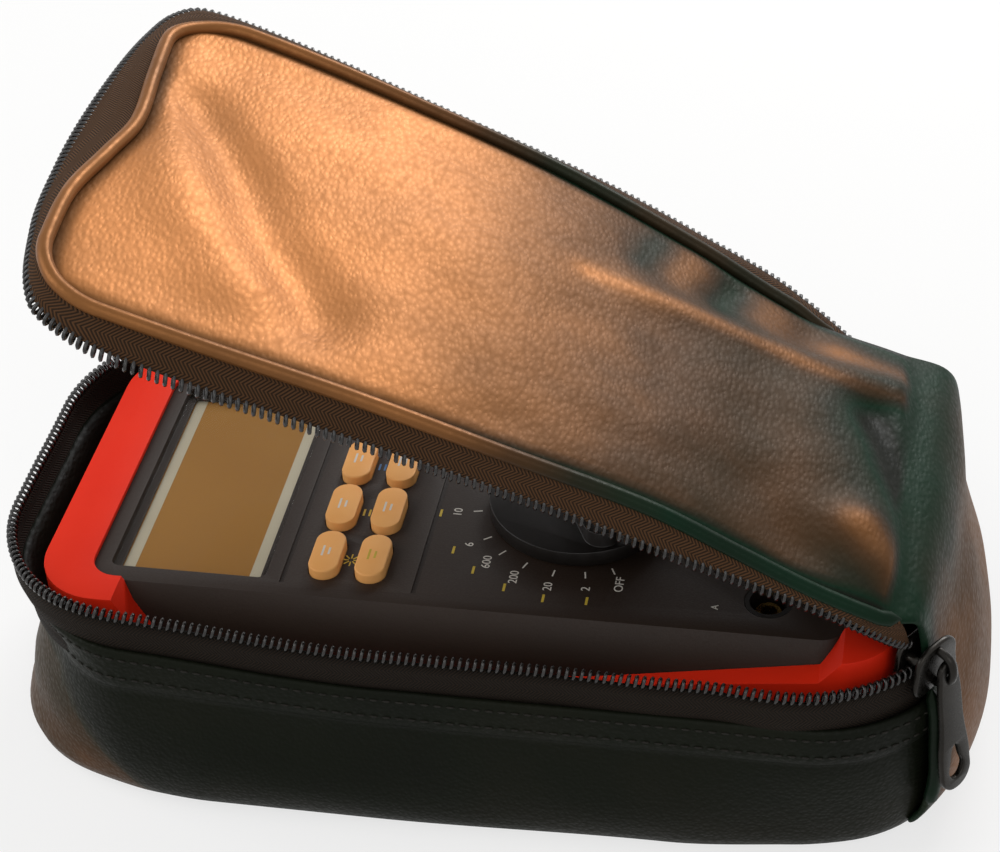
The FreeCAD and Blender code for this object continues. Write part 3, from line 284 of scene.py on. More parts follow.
def tape_weave(name, dark, light):
    """Woven tape; dark and light are the colours between the ribs and on them."""
    material, tree, shader = new_finish(name, Roughness=0.82, Specular_IOR_Level=0.15)
    strip = add(tree, "ShaderNodeSeparateXYZ", links={
        "Vector": add(tree, "ShaderNodeUVMap", {"uv_map": "strip"}).outputs[0]})
    zigzag = add(tree, "ShaderNodeMath", {"operation": "PINGPONG"}, {1: CHEVRON_MM * MM},
                 {0: strip.outputs[1]})
    slant = add(tree, "ShaderNodeMath", {"operation": "ADD"},
                links={0: strip.outputs[0], 1: zigzag.outputs[0]})
    turn = add(tree, "ShaderNodeMath", {"operation": "MULTIPLY"}, {1: 2 * math.pi / (RIB_MM * MM)},
               {0: slant.outputs[0]})
    rib = add(tree, "ShaderNodeMath", {"operation": "SINE"}, links={0: turn.outputs[0]})
    tone = add(tree, "ShaderNodeMapRange", values={"From Min": -1.0}, links={"Value": rib.outputs[0]})
    colour = add(tree, "ShaderNodeMix", {"data_type": "RGBA"},
                 {"A": linear(dark), "B": linear(light)}, {0: tone.outputs[0]})
    relief = add(tree, "ShaderNodeBump", values={"Strength": 0.6, "Distance": RIB_HEIGHT_MM * MM},
                 links={"Height": tone.outputs[0]})
    link(tree, shader, {"Base Color": colour.outputs["Result"], "Normal": relief.outputs[0]})
    return material


# The lid's tape lies in the light, so its ribs show brown.
zipper_tape = tape_weave("herringbone_zipper_tape", "#1f150c", "#583c25")
# The base's tape stands in the lid's shade and is nearly black.
shaded_tape = tape_weave("herringbone_tape_in_shade", "#0d0b08", "#241b13")
print("tape finishes:", zipper_tape.name, shaded_tape.name)

# %% [markdown]
# ## Finish: moulded and coated surfaces
#
# Rubber, plastic, lacquer and thread are never quite one colour or one gloss. A broad noise mixes two
# near colours, and a fine one makes the gloss uneven and gives the surface its texture. The sizes
# are in mm, first of the spots of colour and then of the texture.

# %% Moulded and coated surfaces
TEXTURE_HEIGHT_MM = 0.1


def speckled(name, first, second, spot_mm, relief_mm, strength, rough, **values):
    """A moulded or coated finish: two near colours, uneven gloss and a fine surface texture."""
    material, tree, shader = new_finish(name, **values)
    spot = add(tree, "ShaderNodeTexCoord").outputs["Object"]
    broad = add(tree, "ShaderNodeTexNoise", values={"Scale": 1 / (spot_mm * MM), "Detail": 3.0},
                links={"Vector": spot})
    fine = add(tree, "ShaderNodeTexNoise", values={"Scale": 1 / (relief_mm * MM), "Detail": 2.0},
               links={"Vector": spot})
    colour = add(tree, "ShaderNodeMix", {"data_type": "RGBA"},
                 {"A": linear(first), "B": linear(second)}, {0: broad.outputs[0]})
    gloss = add(tree, "ShaderNodeMapRange", links={"Value": fine.outputs[0]}, values={
        "From Min": 0.3, "From Max": 0.7, "To Min": rough[0], "To Max": rough[1]})
    relief = add(tree, "ShaderNodeBump", values={"Strength": strength, "Distance": TEXTURE_HEIGHT_MM * MM},
                 links={"Height": fine.outputs[0]})
    link(tree, shader, {"Base Color": colour.outputs["Result"], "Roughness": gloss.outputs[0],
                        "Normal": relief.outputs[0]})
    return material


# Drawn nylon: black, with a narrow glint on each tooth.
coil_nylon = speckled("black_nylon_coil", "#0d0c0b", "#211d1a", 9, 0.5, 0.1, (0.22, 0.34))
# Bonded thread: as dark as the leather, but dull.
stitch_thread = speckled("bonded_nylon_thread", "#12110d", "#1e1b15", 6, 0.4, 0.3, (0.6, 0.75),
                         Specular_IOR_Level=0.2)
# Lacquered zinc: dark metal with a soft shine along its rims.
zipper_metal = speckled("black_lacquered_zinc", "#151412", "#2a2621", 5, 0.6, 0.12, (0.24, 0.4),
                        Metallic=0.75)
# Moulded rubber: a strong even red with broad, weak highlights.
holster_rubber = speckled("moulded_red_rubber", "#e2260d", "#ee3114", 22, 0.5, 0.2, (0.5, 0.62),
                          Specular_IOR_Level=0.18)
# Spark-textured ABS: dark brown, and too rough to reflect anything clearly.
cover_plastic = speckled("spark_textured_abs", "#20150e", "#2b1e15", 30, 0.45, 0.35, (0.5, 0.64),
                         Specular_IOR_Level=0.3)
# Moulded ABS: blacker and smoother than the face, so the knob's edges catch light.
knob_plastic = speckled("moulded_black_abs", "#120f0d", "#1b1613", 20, 0.6, 0.2, (0.34, 0.46), IOR=1.45)
# Felt: matt, with a faint haze of fibres.
lining_felt = speckled("felted_lining", "#15120f", "#241e19", 4, 0.35, 0.8, (0.9, 1.0), Sheen_Weight=0.3)
# Moulded silicone: satin tan keys, painted lighter than their own tan to stand in for the strong light on
# them.
key_rubber = speckled("tan_silicone_keys", "#eca258", "#f4b670", 8, 0.4, 0.15, (0.42, 0.55),
                      Specular_IOR_Level=0.25)
print("finishes so far:", len(bpy.data.materials))

# %% [markdown]
# ## Finish: display, print and the parts inside
#
# The display is a liquid crystal, amber brown in this light, behind an acrylic pane, with pale
# plastic at its two ends. The marks on the face are screen print. The parts inside are seen when the
# meter is taken apart, so they have their usual finishes too.

# %% Display, print and inner finishes
# Liquid crystal between glass: flat and even, with hardly any reflection under the pane.
lcd_glass = speckled("liquid_crystal_glass", "#9c6c2f", "#a87838", 26, 0.9, 0.04, (0.3, 0.4),
                     Specular_IOR_Level=0.12)
# Moulded polycarbonate: cream in this light.
display_plastic = speckled("white_polycarbonate", "#b9ad92", "#c9bfa6", 12, 0.6, 0.1, (0.4, 0.5))
# Polished acrylic: seen only by what it reflects.
clear_acrylic = speckled("clear_acrylic_pane", "#3a382f", "#45433a", 60, 2.0, 0.02, (0.04, 0.08), IOR=1.49,
                         Alpha=0.06)
# Screen print: flat colours, a little broken.
white_print = speckled("white_screen_print", "#c9c2b8", "#dcd6cc", 3, 0.3, 0.2, (0.55, 0.7))
yellow_print = speckled("yellow_screen_print", "#b89a2c", "#cfb33c", 3, 0.3, 0.2, (0.55, 0.7))
blue_print = speckled("blue_screen_print", "#34639a", "#4a7ab0", 3, 0.3, 0.2, (0.55, 0.7))
# Pressed board: brown and matt, with short fibres.
fibre_board = speckled("pressed_fibre_board", "#2b241d", "#3a3128", 5, 0.5, 0.5, (0.8, 0.95))
# Laminate under solder resist: glossy green.
board_laminate = speckled("green_laminate", "#0f4a25", "#175c30", 14, 0.5, 0.15, (0.3, 0.45))
# Moulded epoxy: grey black and dull.
black_resin = speckled("moulded_epoxy_resin", "#121212", "#1d1c1b", 10, 0.4, 0.25, (0.5, 0.65))
# Plated brass: pale gold with sharp reflections.
contact_brass = speckled("nickel_plated_brass", "#b08a4a", "#c79f5a", 6, 0.5, 0.1, (0.22, 0.34), Metallic=1.0)
# Zinc-plated steel: grey, a little cloudy.
screw_steel = speckled("zinc_plated_steel", "#9a9a98", "#b4b3b0", 4, 0.4, 0.12, (0.28, 0.42), Metallic=1.0)
# Fired ceramic: off-white with a soft shine.
fuse_ceramic = speckled("fuse_ceramic", "#d9d2c0", "#e6e0d0", 7, 0.4, 0.1, (0.3, 0.42))
# Rolled steel jacket under varnish: dark grey with a faint shine of metal.
battery_case = speckled("battery_jacket", "#26262a", "#38383d", 18, 0.6, 0.08, (0.28, 0.4), Metallic=0.3)
# Rubber filled with carbon: dull dark grey.
carbon_rubber = speckled("carbon_rubber", "#242322", "#343230", 6, 0.4, 0.3, (0.6, 0.75))

cad_finishes = {
    "cover_plastic": cover_plastic,
    "knob_plastic": knob_plastic,
    "window_clear": clear_acrylic,
    "lcd_glass": lcd_glass,
    "display_plastic": display_plastic,
    "connector_rubber": carbon_rubber,
    "key_rubber": key_rubber,
    "pointer_white": white_print,
    "board_laminate": board_laminate,
    "black_resin": black_resin,
    "contact_brass": contact_brass,
    "shroud_plastic": knob_plastic,
    "fuse_glass": fuse_ceramic,
    "battery_case": battery_case,
    "screw_steel": screw_steel,
    "holster_rubber": holster_rubber,
    "zipper_metal": zipper_metal,
    "stiffener": fibre_board,
    "lining_fabric": lining_felt,
    "case_leather": case_leather,
    "piping_leather": piping_leather,
    "tape_fabric": zipper_tape,
    "coil_nylon": coil_nylon,
}
for part in frame["record"]["subparts"]:
    mesh = frame["nodes"][part["node"]].data
    mesh.materials.clear()
    mesh.materials.append(cad_finishes[part["material_slot"]])

# %% [markdown]
# ## Helpers for lofted sheets
#
# Leather pieces are grids of points: rows along the piece, columns across it. A grid is easy to
# shape by rule, and it gives the strip a clean UV map. Curves through measured points use the
# Catmull-Rom rule, which passes through each of them.

# %% Curve helpers
def ease(low, high, value):
    """0 up to low, 1 from high on, and a soft S between them."""
    t = min(max((value - low) / (high - low), 0.0), 1.0)
    return t * t * (3 - 2 * t)


def bell(distance, width):
    """1 at no distance, falling to next to nothing at twice the width."""
    return math.exp(-(distance / width) ** 2)


def to_segment(here, start, finish):
    """Distance from a point to a straight line with two ends, and the share of the way along it."""
    p, q, r = Vector(start), Vector(finish), Vector(here)
    t = min(max((r - p).dot(q - p) / (q - p).length_squared, 0), 1)
    return (r - p.lerp(q, t)).length, t


def along(points, step):
    """Points on a smooth line through the given ones, about one step apart."""
    line = []
    for i in range(len(points) - 1):
        a, b, c, d = (points[min(max(i + k, 0), len(points) - 1)] for k in (-1, 0, 1, 2))
        count = max(1, round(math.dist(b[:3], c[:3]) / step))
        for t in (k / count for k in range(count)):
            line.append([
                0.5 * (2 * q + (r - p) * t + (2 * p - 5 * q + 4 * r - s) * t * t
                       + (3 * q - p - 3 * r + s) * t ** 3)
                for p, q, r, s in zip(a, b, c, d)
            ])
    return line + [list(points[-1])]


def profile_value(table, place):
    """A value on the smooth line through a table of (place, value, ...)."""
    place = min(max(place, table[0][0]), table[-1][0])
    i = max(k for k in range(len(table) - 1) if table[k][0] <= place)
    slopes = []
    for k in (i, i + 1):
        low, high = table[max(k - 1, 0)], table[min(k + 1, len(table) - 1)]
        slopes.append([(q - p) / (high[0] - low[0]) for p, q in zip(low[1:], high[1:])])
    span = table[i + 1][0] - table[i][0]
    t = (place - table[i][0]) / span
    return [
        (1 + 2 * t) * (1 - t) ** 2 * p + t * (1 - t) ** 2 * span * m
        + t * t * (3 - 2 * t) * q + t * t * (t - 1) * span * n
        for p, q, m, n in zip(table[i][1:], table[i + 1][1:], *slopes)
    ]


print("points on a test line:", len(along([(0, 0, 0), (10, 0, 0)], 2)))


# %% Sheet helpers
def shade(mesh, smooth=True):
    """Set every face of a mesh smooth or flat."""
    mesh.polygons.foreach_set("use_smooth", [smooth] * len(mesh.polygons))
    return mesh


def grid_mesh(name, rows, closed=False, uv=None, painted_sheen=None):
    """Mesh of quads over rows of points in mm; the UV map and the amount of painted sheen give one value for
    each point.
    """
    wide = len(rows[0])
    mesh = bpy.data.meshes.new(name)
    faces = []
    for i in range(len(rows) - 1):
        for j in range(wide if closed else wide - 1):
            k = (j + 1) % wide
            faces.append((i * wide + j, i * wide + k, (i + 1) * wide + k, (i + 1) * wide + j))
    mesh.from_pydata([Vector(p) * MM for row in rows for p in row], [], faces)
    if uv:
        flat = [value for row in uv for value in row]
        layer = mesh.uv_layers.new(name="strip")
        for loop in mesh.loops:
            layer.data[loop.index].uv = flat[loop.vertex_index]
    if painted_sheen:
        layer = mesh.attributes.new("painted_sheen", "FLOAT", "POINT")
        layer.data.foreach_set("value", [value for row in painted_sheen for value in row])
    return shade(mesh)


def show(name, mesh, material, replaced=(), body=None):
    """Put a mesh in the scene with its finish, hide the nodes that it stands for, and hang it on its body if
    one is given.
    """
    obj = placed(name, mesh)
    mesh.materials.clear()
    mesh.materials.append(material)
    if replaced:
        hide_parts(*replaced)
    if body:
        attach(obj, body)
    return obj


def plain_mesh(obj):
    """Plain mesh of an object's curve, text or modifiers."""
    bpy.context.view_layer.update()
    return bpy.data.meshes.new_from_object(obj.evaluated_get(bpy.context.evaluated_depsgraph_get()))


def settle(obj):
    """Turn an object's modifiers into plain mesh."""
    mesh = plain_mesh(obj)
    obj.modifiers.clear()
    obj.data = mesh
    return obj


def thicken(obj, thick_mm, rounds=0):
    """Give a sheet its thickness and smooth it by rounds of subdivision."""
    solid = obj.modifiers.new("thickness", "SOLIDIFY")
    solid.thickness = thick_mm * MM
    solid.offset = -1
    if rounds:
        fine = obj.modifiers.new("smooth", "SUBSURF")
        fine.levels = fine.render_levels = rounds
    return settle(obj)


# %% [markdown]
# ## The tray
#
# The tray is soft leather sewn to a board at the bottom. It bulges low down, pulls in below the hem,
# and its left end stands a little higher than the rest. The shell is lofted: a profile with the
# bottom's round, the belly, the folded hem and the inner wall is swept round the case's outline,
# and the offset at each point is changed by rule for the waist, the creases and the hinge end.

# %% Case outline
HALF_LENGTH, HALF_WIDTH, CORNER_RADIUS = 117.0, 60.0, 41.0
CORNER_X, CORNER_Y = HALF_LENGTH - CORNER_RADIUS, HALF_WIDTH - CORNER_RADIUS
TRAY_HINGE_RADIUS = 36.0
RIM_RISE = 6.0


def case_outline(count, inset=0.0, hinge_radius=CORNER_RADIUS):
    """(x, y, outward x, outward y) round the case, from the middle of the hinge end, near side first."""
    r, left = hinge_radius - inset, CORNER_RADIUS - inset
    x, y = HALF_LENGTH - hinge_radius, HALF_WIDTH - hinge_radius
    end, side = HALF_LENGTH - inset, HALF_WIDTH - inset
    # A straight run has its two ends, and a corner its centre, radius and two angles.
    runs = [
        ((end, 0), (end, -y)),
        ((x, -y), r, 0, -90),
        ((x, -side), (-CORNER_X, -side)),
        ((-CORNER_X, -CORNER_Y), left, -90, -180),
        ((-end, -CORNER_Y), (-end, CORNER_Y)),
        ((-CORNER_X, CORNER_Y), left, 180, 90),
        ((-CORNER_X, side), (x, side)),
        ((x, y), r, 90, 0),
        ((end, y), (end, 0)),
    ]
    lengths = [math.dist(*run) if len(run) == 2 else run[1] * math.pi / 2 for run in runs]
    line = []
    for i in range(count):
        s, k = sum(lengths) * i / count, 0
        while s > lengths[k]:
            s, k = s - lengths[k], k + 1
        run, t = runs[k], s / lengths[k]
        if len(run) == 2:
            dx, dy = ((q - p) / lengths[k] for p, q in zip(*run))
            line.append((run[0][0] + dx * s, run[0][1] + dy * s, -dy, dx))
        else:
            turn = math.radians(run[2] + (run[3] - run[2]) * t)
            c, n = math.cos(turn), math.sin(turn)
            line.append((run[0][0] + run[1] * c, run[0][1] + run[1] * n, c, n))
    return line


def clear_of_hinge(spots, end):
    """The spots of an outline outside the hinge end, which reaches this far to each side."""
    return [s for s in spots if s[0] <= CORNER_X or abs(s[1]) >= end]


def rim_rise(x):
    """How much higher the rim stands; the left end of the tray stands highest."""
    return RIM_RISE * (1 - ease(-95, -15, x))


def left_end(x):
    """1 at the tray's left end, 0 from where its sides run straight."""
    return 1 - ease(-112, -80, x)


print("case outline:", [round(v, 1) for v in case_outline(4)[1][:2]])

# %% Tray shell
# Offset from the outline and height, from under the bottom up over the hem and down to the floor.
TRAY_PROFILE = [
    (-9.0, 0.0), (-6.2, 0.35), (-3.6, 1.6), (-1.6, 3.7), (-0.4, 6.6), (0.3, 10.0), (0.6, 14.0), (0.4, 18.0),
    (0.0, 22.0), (-0.5, 26.0), (-1.0, 30.0), (-1.4, 33.6), (-1.5, 35.0), (-0.8, 35.5), (-0.45, 36.2),
    (-0.3, 38.0), (-0.3, 40.5), (-0.3, 43.0), (-0.45, 44.6), (-0.9, 45.4), (-1.6, 45.7), (-2.3, 45.3),
    (-2.6, 44.0), (-2.7, 38.0), (-2.7, 28.0), (-2.7, 16.0), (-2.9, 8.0), (-4.0, 4.0), (-7.0, 2.4),
    (-11.0, 2.2),
]
HEM_TOP = max(range(len(TRAY_PROFILE)), key=lambda k: TRAY_PROFILE[k][1])
CREASE_TOP, CREASE_FOOT = Vector((-107, -40, 38)), Vector((-84, -59, 13))
CREASE_SLOPE = (CREASE_FOOT.x - CREASE_TOP.x) / (CREASE_TOP.z - CREASE_FOOT.z)
CREASE_DEPTH, CREASE_WIDTH = 2.0, 4.0
TRAY_COLUMNS = 260


def tray_point(spot, offset, z):
    """Place on the shell, from a spot of the outline, an offset from it and a height, all in mm."""
    x, y, nx, ny = spot
    left, hinge = left_end(x), ease(84, 113, x) * (1 - ease(34, 47, abs(y)))
    # The left end flares at its rim and foot, with a waist between them.
    d = offset + left * (2.2 * ease(40, 47, z) - 5.0 * bell(z - 35, 11) - 1.3 * ease(30, 42, z))
    d += left * (3.6 * (1 - ease(4, 16, z)) - 1.9)
    # The hinge end draws back behind the end leather.
    d -= hinge * (1.0 + 4.5 * ease(8, 48, z))
    # The long walls lean in towards the hem, and their foot draws in towards both ends.
    d -= ny * ny * 1.2 * ease(10, 44, z)
    d -= ny * ny * (1.9 * ease(-20, 50, x) + 3.2 * (1 - ease(-95, -60, x)) - 0.3) * (1 - ease(8, 34, z))
    d -= 4.2 * ease(50, 95, x) * (1 - ease(10, 40, z)) * abs(ny)
    # Soft waves, weaker on the hem, and the crease at the near left corner.
    d += 0.8 * noise.noise(Vector((x / 36, y / 36, z / 22))) * ease(4, 14, z) * (1 - 0.6 * ease(33, 36, z))
    gap, t = to_segment((x, y, z), CREASE_TOP, CREASE_FOOT)
    d -= CREASE_DEPTH * bell(gap, CREASE_WIDTH) * (1 - t * t) * ease(3, 12, z)
    return (x + d * nx, y + d * ny, z + rim_rise(x) * ease(16, 45, z))


def tray_sheen(spot, k, z):
    """Painted sheen: brown on the left end below the hem, as far as the crease at the near corner, and a
    faint band low on the walls; the long walls keep the leather's near-black, and the inside gets none.
    """
    x, y = spot[:2]
    crease = CREASE_TOP.x + (CREASE_TOP.z - z) * CREASE_SLOPE
    facet = 1 - ease(crease - 3, crease + 5, x) if y < 0 else left_end(x)
    tone = 0.13 + 0.34 * facet * (1 - ease(30, 37, z)) + 0.08 * bell(z - 8, 7)
    return tone if k <= HEM_TOP else 0.0


spots = case_outline(TRAY_COLUMNS, hinge_radius=TRAY_HINGE_RADIUS)
rows = [[tray_point(spot, d, z) for spot in spots] for d, z in TRAY_PROFILE]
sheen_amount = [[tray_sheen(spot, k, z) for spot in spots] for k, (d, z) in enumerate(TRAY_PROFILE)]
mesh = grid_mesh("tray_leather", rows, closed=True, painted_sheen=sheen_amount)
bm = bmesh.new()
bm.from_mesh(mesh)
bm.verts.ensure_lookup_table()
for first in (0, (len(rows) - 1) * TRAY_COLUMNS):
    bm.faces.new([bm.verts[first + j] for j in range(TRAY_COLUMNS)])
bmesh.ops.recalc_face_normals(bm, faces=bm.faces)
bm.to_mesh(mesh)
bm.free()
show("tray_leather", mesh, tray_finish, ["case_tray"], "base")
print("tray faces:", len(mesh.polygons))

# %% [markdown]
# ## Lid and hinge end: one sheet of leather
#
# The leather of the lid runs on over the fold and down the end wall, so it is one sheet. Its edges
# were measured in the photograph, as a distance from the hinge, a place across and a height over the
# lid's plane. The wall's ribs are listed as near, middle and far points.

# %% Lid shape
HINGE = Vector((109.5, 0, 71.3))
LEAN = math.radians(23.5)
UP_LID = Vector((-math.cos(LEAN), 0, math.sin(LEAN)))
OFF_LID = Vector((math.sin(LEAN), 0, math.cos(LEAN)))
LID_START, LID_END, LID_CORNER = 14.0, 208.0, 16.0
# Distance up the lid, place across and height off the lid's plane.
NEAR_EDGE = [(0, -48.5, -3), (14, -51.6, -0.6), (30, -52, -0.2), (48, -51.6, 1.2), (70, -52, 3.6),
             (104, -54.5, 4.3), (138, -55.5, 3.5), (170, -57, 2), (190, -57.5, 1), (208, -57.5, 0)]
FAR_EDGE = [(0, 46.4, -0.8), (14, 46.6, -0.6), (34, 47, -2.4), (48, 49, -2.2), (70, 51.5, 0.5),
            (109, 55, 3.2), (146, 58, 2.5), (178, 59, 2), (208, 59, 0.5)]
# Place across and distance up the lid.
LEFT_EDGE = [(-60, 208), (-46, 209), (-25, 210), (-7, 207), (8, 204.6), (29, 206.6), (47, 208), (60, 207)]
# Distance up the lid and swell of the padding.
CROWN = [(0, 6.5), (14, 6), (40, 5), (80, 2.2), (120, 1.6), (208, 0.8)]
# Folds and dents: height, the two ends of a line as (up the lid, across), and the width.
LID_FOLDS = [
    (-2.6, (196, 24), (150, -34), 8.5),
    (1.5, (206, 6), (168, -34), 9),
    (-3.2, (21, 12), (2, -36), 6),
    (2.4, (21, -31), (10, -43), 8),
    (-1.8, (62, 33), (58, 44), 5.5),
    (-1.8, (40, 31), (36, 42), 5.5),
    (-1.2, (46, -30), (34, -44), 8),
]
# Painted highlights and painted shade on the lid: how much more or less painted sheen shows, then a line as
# above, on a lid of even width.
SHEEN_HALF_WIDTH, PAINTED_LIGHT_HALF_WIDTH = 54, 52
LID_PAINTED_LIGHT = [
    (0.32, (22, -30), (10, -42), 7),
    (0.20, (96, 17), (8, 25), 3),
    (0.18, (73, 33), (71, 42), 7),
    (0.18, (50, 36), (48, 42), 7),
    (0.28, (30, 36), (10, 36), 6),
    (-0.18, (84, 32), (80, 44), 5),
    (-0.18, (61, 33), (59, 44), 5),
    (-0.24, (21, 12), (2, -36), 6),
]


def on_lid(a, y, n):
    """Place of a point given by its distance up the lid, place across and height off its plane."""
    return HINGE + a * UP_LID + Vector((0, y, 0)) + n * OFF_LID


def near_line(a, y, start, finish, width):
    """Bell-shaped weight round a line on the lid."""
    return bell(to_segment((a, y), start, finish)[0], width)


def lid_relief(a, y):
    """Height in mm of the dents, folds and soft waves of the lid's leather."""
    n = sum(height * near_line(a, y, *line) for height, *line in LID_FOLDS)
    n += 1.3 * near_line(a, y, (96, 17), (4, 26), 5.5) * (1 - ease(70, 100, a))
    n += 0.9 * noise.noise(Vector((a / 34, y / 30, 1.7))) + 0.35 * noise.noise(Vector((a / 13, y / 13, 4.2)))
    return n


def lid_point(a, t, sink=0.0):
    """Place on the lid, a mm from the hinge and t across it, from -1 near to 1 far, sunk by so much."""
    near, far = profile_value(NEAR_EDGE, a), profile_value(FAR_EDGE, a)
    middle, half = (near[0] + far[0]) / 2, (far[0] - near[0]) / 2
    y, place = half * t, a
    v, u = (abs(y) - (half - LID_CORNER)) / LID_CORNER, (a - (LID_END - LID_CORNER)) / LID_CORNER
    if u > 0 and v > 0:
        place = LID_END - LID_CORNER + LID_CORNER * u * math.sqrt(1 - v * v / 2)
        y = math.copysign(half - LID_CORNER + LID_CORNER * v * math.sqrt(1 - u * u / 2), t)
    y += middle
    place += (profile_value(LEFT_EDGE, y)[0] - LID_END) * ease(140, LID_END, a)
    n = near[1] + (far[1] - near[1]) * (t + 1) / 2 + profile_value(CROWN, a)[0] * (1 - abs(t) ** 2.2)
    edge = min(half * (1 - abs(t)), LID_END - a)
    n += lid_relief(a, y) * ease(0, 12, edge) - 1.0 * (1 - ease(0.5, 4.5, edge)) - sink
    return on_lid(place, y, n)


def lid_sheen(a, t):
    """How much painted sheen shows: all of it at the free end, little in the shaded folds by the hinge, and
    less near the edge.
    """
    edge, y = min(SHEEN_HALF_WIDTH * (1 - abs(t)), LID_END - a), PAINTED_LIGHT_HALF_WIDTH * t
    tone = 0.34 + 0.18 * ease(16, 44, a) + 0.44 * ease(66, 150, a)
    tone += sum(change * near_line(a, y, *line) for change, *line in LID_PAINTED_LIGHT)
    return tone - 0.45 * (1 - ease(0.5, 5.5, edge))


print("lid's free end:", [round(v, 1) for v in lid_point(LID_END, 0)])

# %% Lid sheet
# Near, middle and far point of each rib of the end wall, from the foot up to the fold.
END_RIBS = [
    (106.5, -45, 4.5, 117.5, 0, 2.5, 107, 45, 4.5),
    (109.6, -46, 10, 122.0, 0, 9, 110, 46, 10),
    (110.8, -46, 22, 124.0, 0, 22, 111, 46, 22),
    (110.8, -46, 36, 121.5, 0, 36, 111, 46, 36),
    (109.8, -45.4, 48, 118.0, 0, 48, 110.6, 46, 48),
    (108.0, -44.4, 58, 114.3, 0, 58, 110.9, 46, 57.4),
    (106.8, -45.4, 66, 112.3, 0, 67.5, 110.8, 46.4, 66.4),
    (104.8, -48.3, 72.6, 107.6, -1, 74.6, 107.4, 46.6, 72.2),
]
LEATHER_THICK, RIB_STEP, LID_ROWS, COLUMNS = 1.8, 2.6, 78, 52
steps = [2 * i / COLUMNS - 1 for i in range(COLUMNS + 1)]
# Two ribs of the lid lead the line on smoothly; the tenth number counts the ribs and tells where to stop.
ribs = [rib + (k,) for k, rib in enumerate(END_RIBS)]
for k, a in enumerate((LID_START, LID_START + 12)):
    ribs.append(tuple(v for t in (-1, 0, 1) for v in lid_point(a, t)) + (len(END_RIBS) + k,))
sheet_rows, sheet_sheen = [], []
for rib in along(ribs, RIB_STEP):
    number = rib[9]
    if number >= len(END_RIBS) - 0.01:
        break
    near, mid, far = (Vector(rib[k:k + 3]) for k in (0, 3, 6))
    row = [mid + (far - near) / 2 * t + ((far + near) / 2 - mid) * abs(t) ** 2.4 for t in steps]
    wave, upper = ease(0.5, 2, number), ease(4.5, 8, number)
    sheet_rows.append([
        p + Vector((0.9 * wave * noise.noise(Vector((p.y / 26, p.z / 15, 7.1))), 0, 0)) for p in row])
    # Painted sheen on the end wall: brown low down, falling to the painted green reflection at the fold, and
    # less at its sides below the fold.
    sheet_sheen.append([0.62 - 0.32 * upper - 0.3 * ease(0.8, 1, abs(t)) * (1 - upper) for t in steps])
wall_rows = len(sheet_rows)
lid_places = [LID_START + (LID_END - LID_START) * i / LID_ROWS for i in range(LID_ROWS + 1)]
sheet_rows += [[lid_point(a, t) for t in steps] for a in lid_places]
sheet_sheen += [[lid_sheen(a, t) for t in steps] for a in lid_places]
mesh = grid_mesh("lid_and_end_leather", sheet_rows, painted_sheen=sheet_sheen)
lid_leather = show("lid_and_end_leather", mesh, case_leather,
                   ["lid_panel", "case_end_panel", "hinge_fold"])
thicken(lid_leather, LEATHER_THICK, 1)
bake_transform(lid_leather)
print("lid sheet faces:", len(lid_leather.data.polygons))

# %% [markdown]
# ## Lining of the lid
#
# A thin felted cloth covers the lid's inside, a little smaller than the leather. It is the same
# sheet again, drawn in from the edges and sunk below the leather.

# %% Lid lining
LINING_WIDTH, LINING_THICK, LINING_SINK, LINING_SAG = 0.95, 0.8, 2.3, 1.2
# Some rows are left out at the hinge and at the free end.
rows = [[lid_point(a, t * LINING_WIDTH, LINING_SINK + LINING_SAG * (1 - t * t)) for t in steps]
        for a in lid_places[3:-2]]
mesh = grid_mesh("lid_lining_cloth", rows)
lining = show("lid_lining_cloth", mesh, lining_felt, ["lid_lining"])
thicken(lining, LINING_THICK)
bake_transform(lining)
print("lining faces:", len(lining.data.polygons))

# %% [markdown]
# ## Piping and welts
#
# A cord wrapped in leather is sewn into the lid's edge, and two more cover the seams at the hinge
# end. Each is a tube along the edge of the sheet, so it always meets the leather.

# %% Piping
PIPING_RADIUS, WELT_RADIUS, CORD_SIDES = 1.75, 1.7, 10
PIPING_OUT, PIPING_LIFT, PIPING_DIVE = 0.2, 1.0, 3.0
# Rows of the end wall that the piping starts on, and rows of the lid that its far end leaves out.
WALL_LEAD, FAR_SKIP = 2, 8


def tube(points, radius, sides=CORD_SIDES):
    """Rows of a round tube along a line, with its ends drawn in."""
    points = [Vector(p) for p in points]
    turns = [2 * math.pi * k / sides for k in range(sides)]
    rows, normal = [], None
    for i, p in enumerate(points):
        way = (points[min(i + 1, len(points) - 1)] - points[max(i - 1, 0)]).normalized()
        if normal is None:
            normal = way.orthogonal().normalized()
        normal = (normal - way * normal.dot(way)).normalized()
        side = way.cross(normal)
        r = radius * (0.05 if i in (0, len(points) - 1) else 1)
        rows.append([p + r * (math.cos(turn) * normal + math.sin(turn) * side) for turn in turns])
    return rows


def joined(name, meshes):
    """One mesh of several shells, each with its faces outwards."""
    bm = bmesh.new()
    for mesh in meshes:
        bm.from_mesh(mesh)
    bmesh.ops.remove_doubles(bm, verts=bm.verts, dist=1e-7)
    bmesh.ops.recalc_face_normals(bm, faces=bm.faces)
    mesh = bpy.data.meshes.new(name)
    bm.to_mesh(mesh)
    bm.free()
    return shade(mesh)


lid_rows = sheet_rows[wall_rows - WALL_LEAD:]
near_count, left_count = len(lid_rows), len(steps) - 2
edge_line = [row[0] for row in lid_rows] + lid_rows[-1][1:-1]
edge_line += [row[-1] for row in reversed(lid_rows[FAR_SKIP:])]
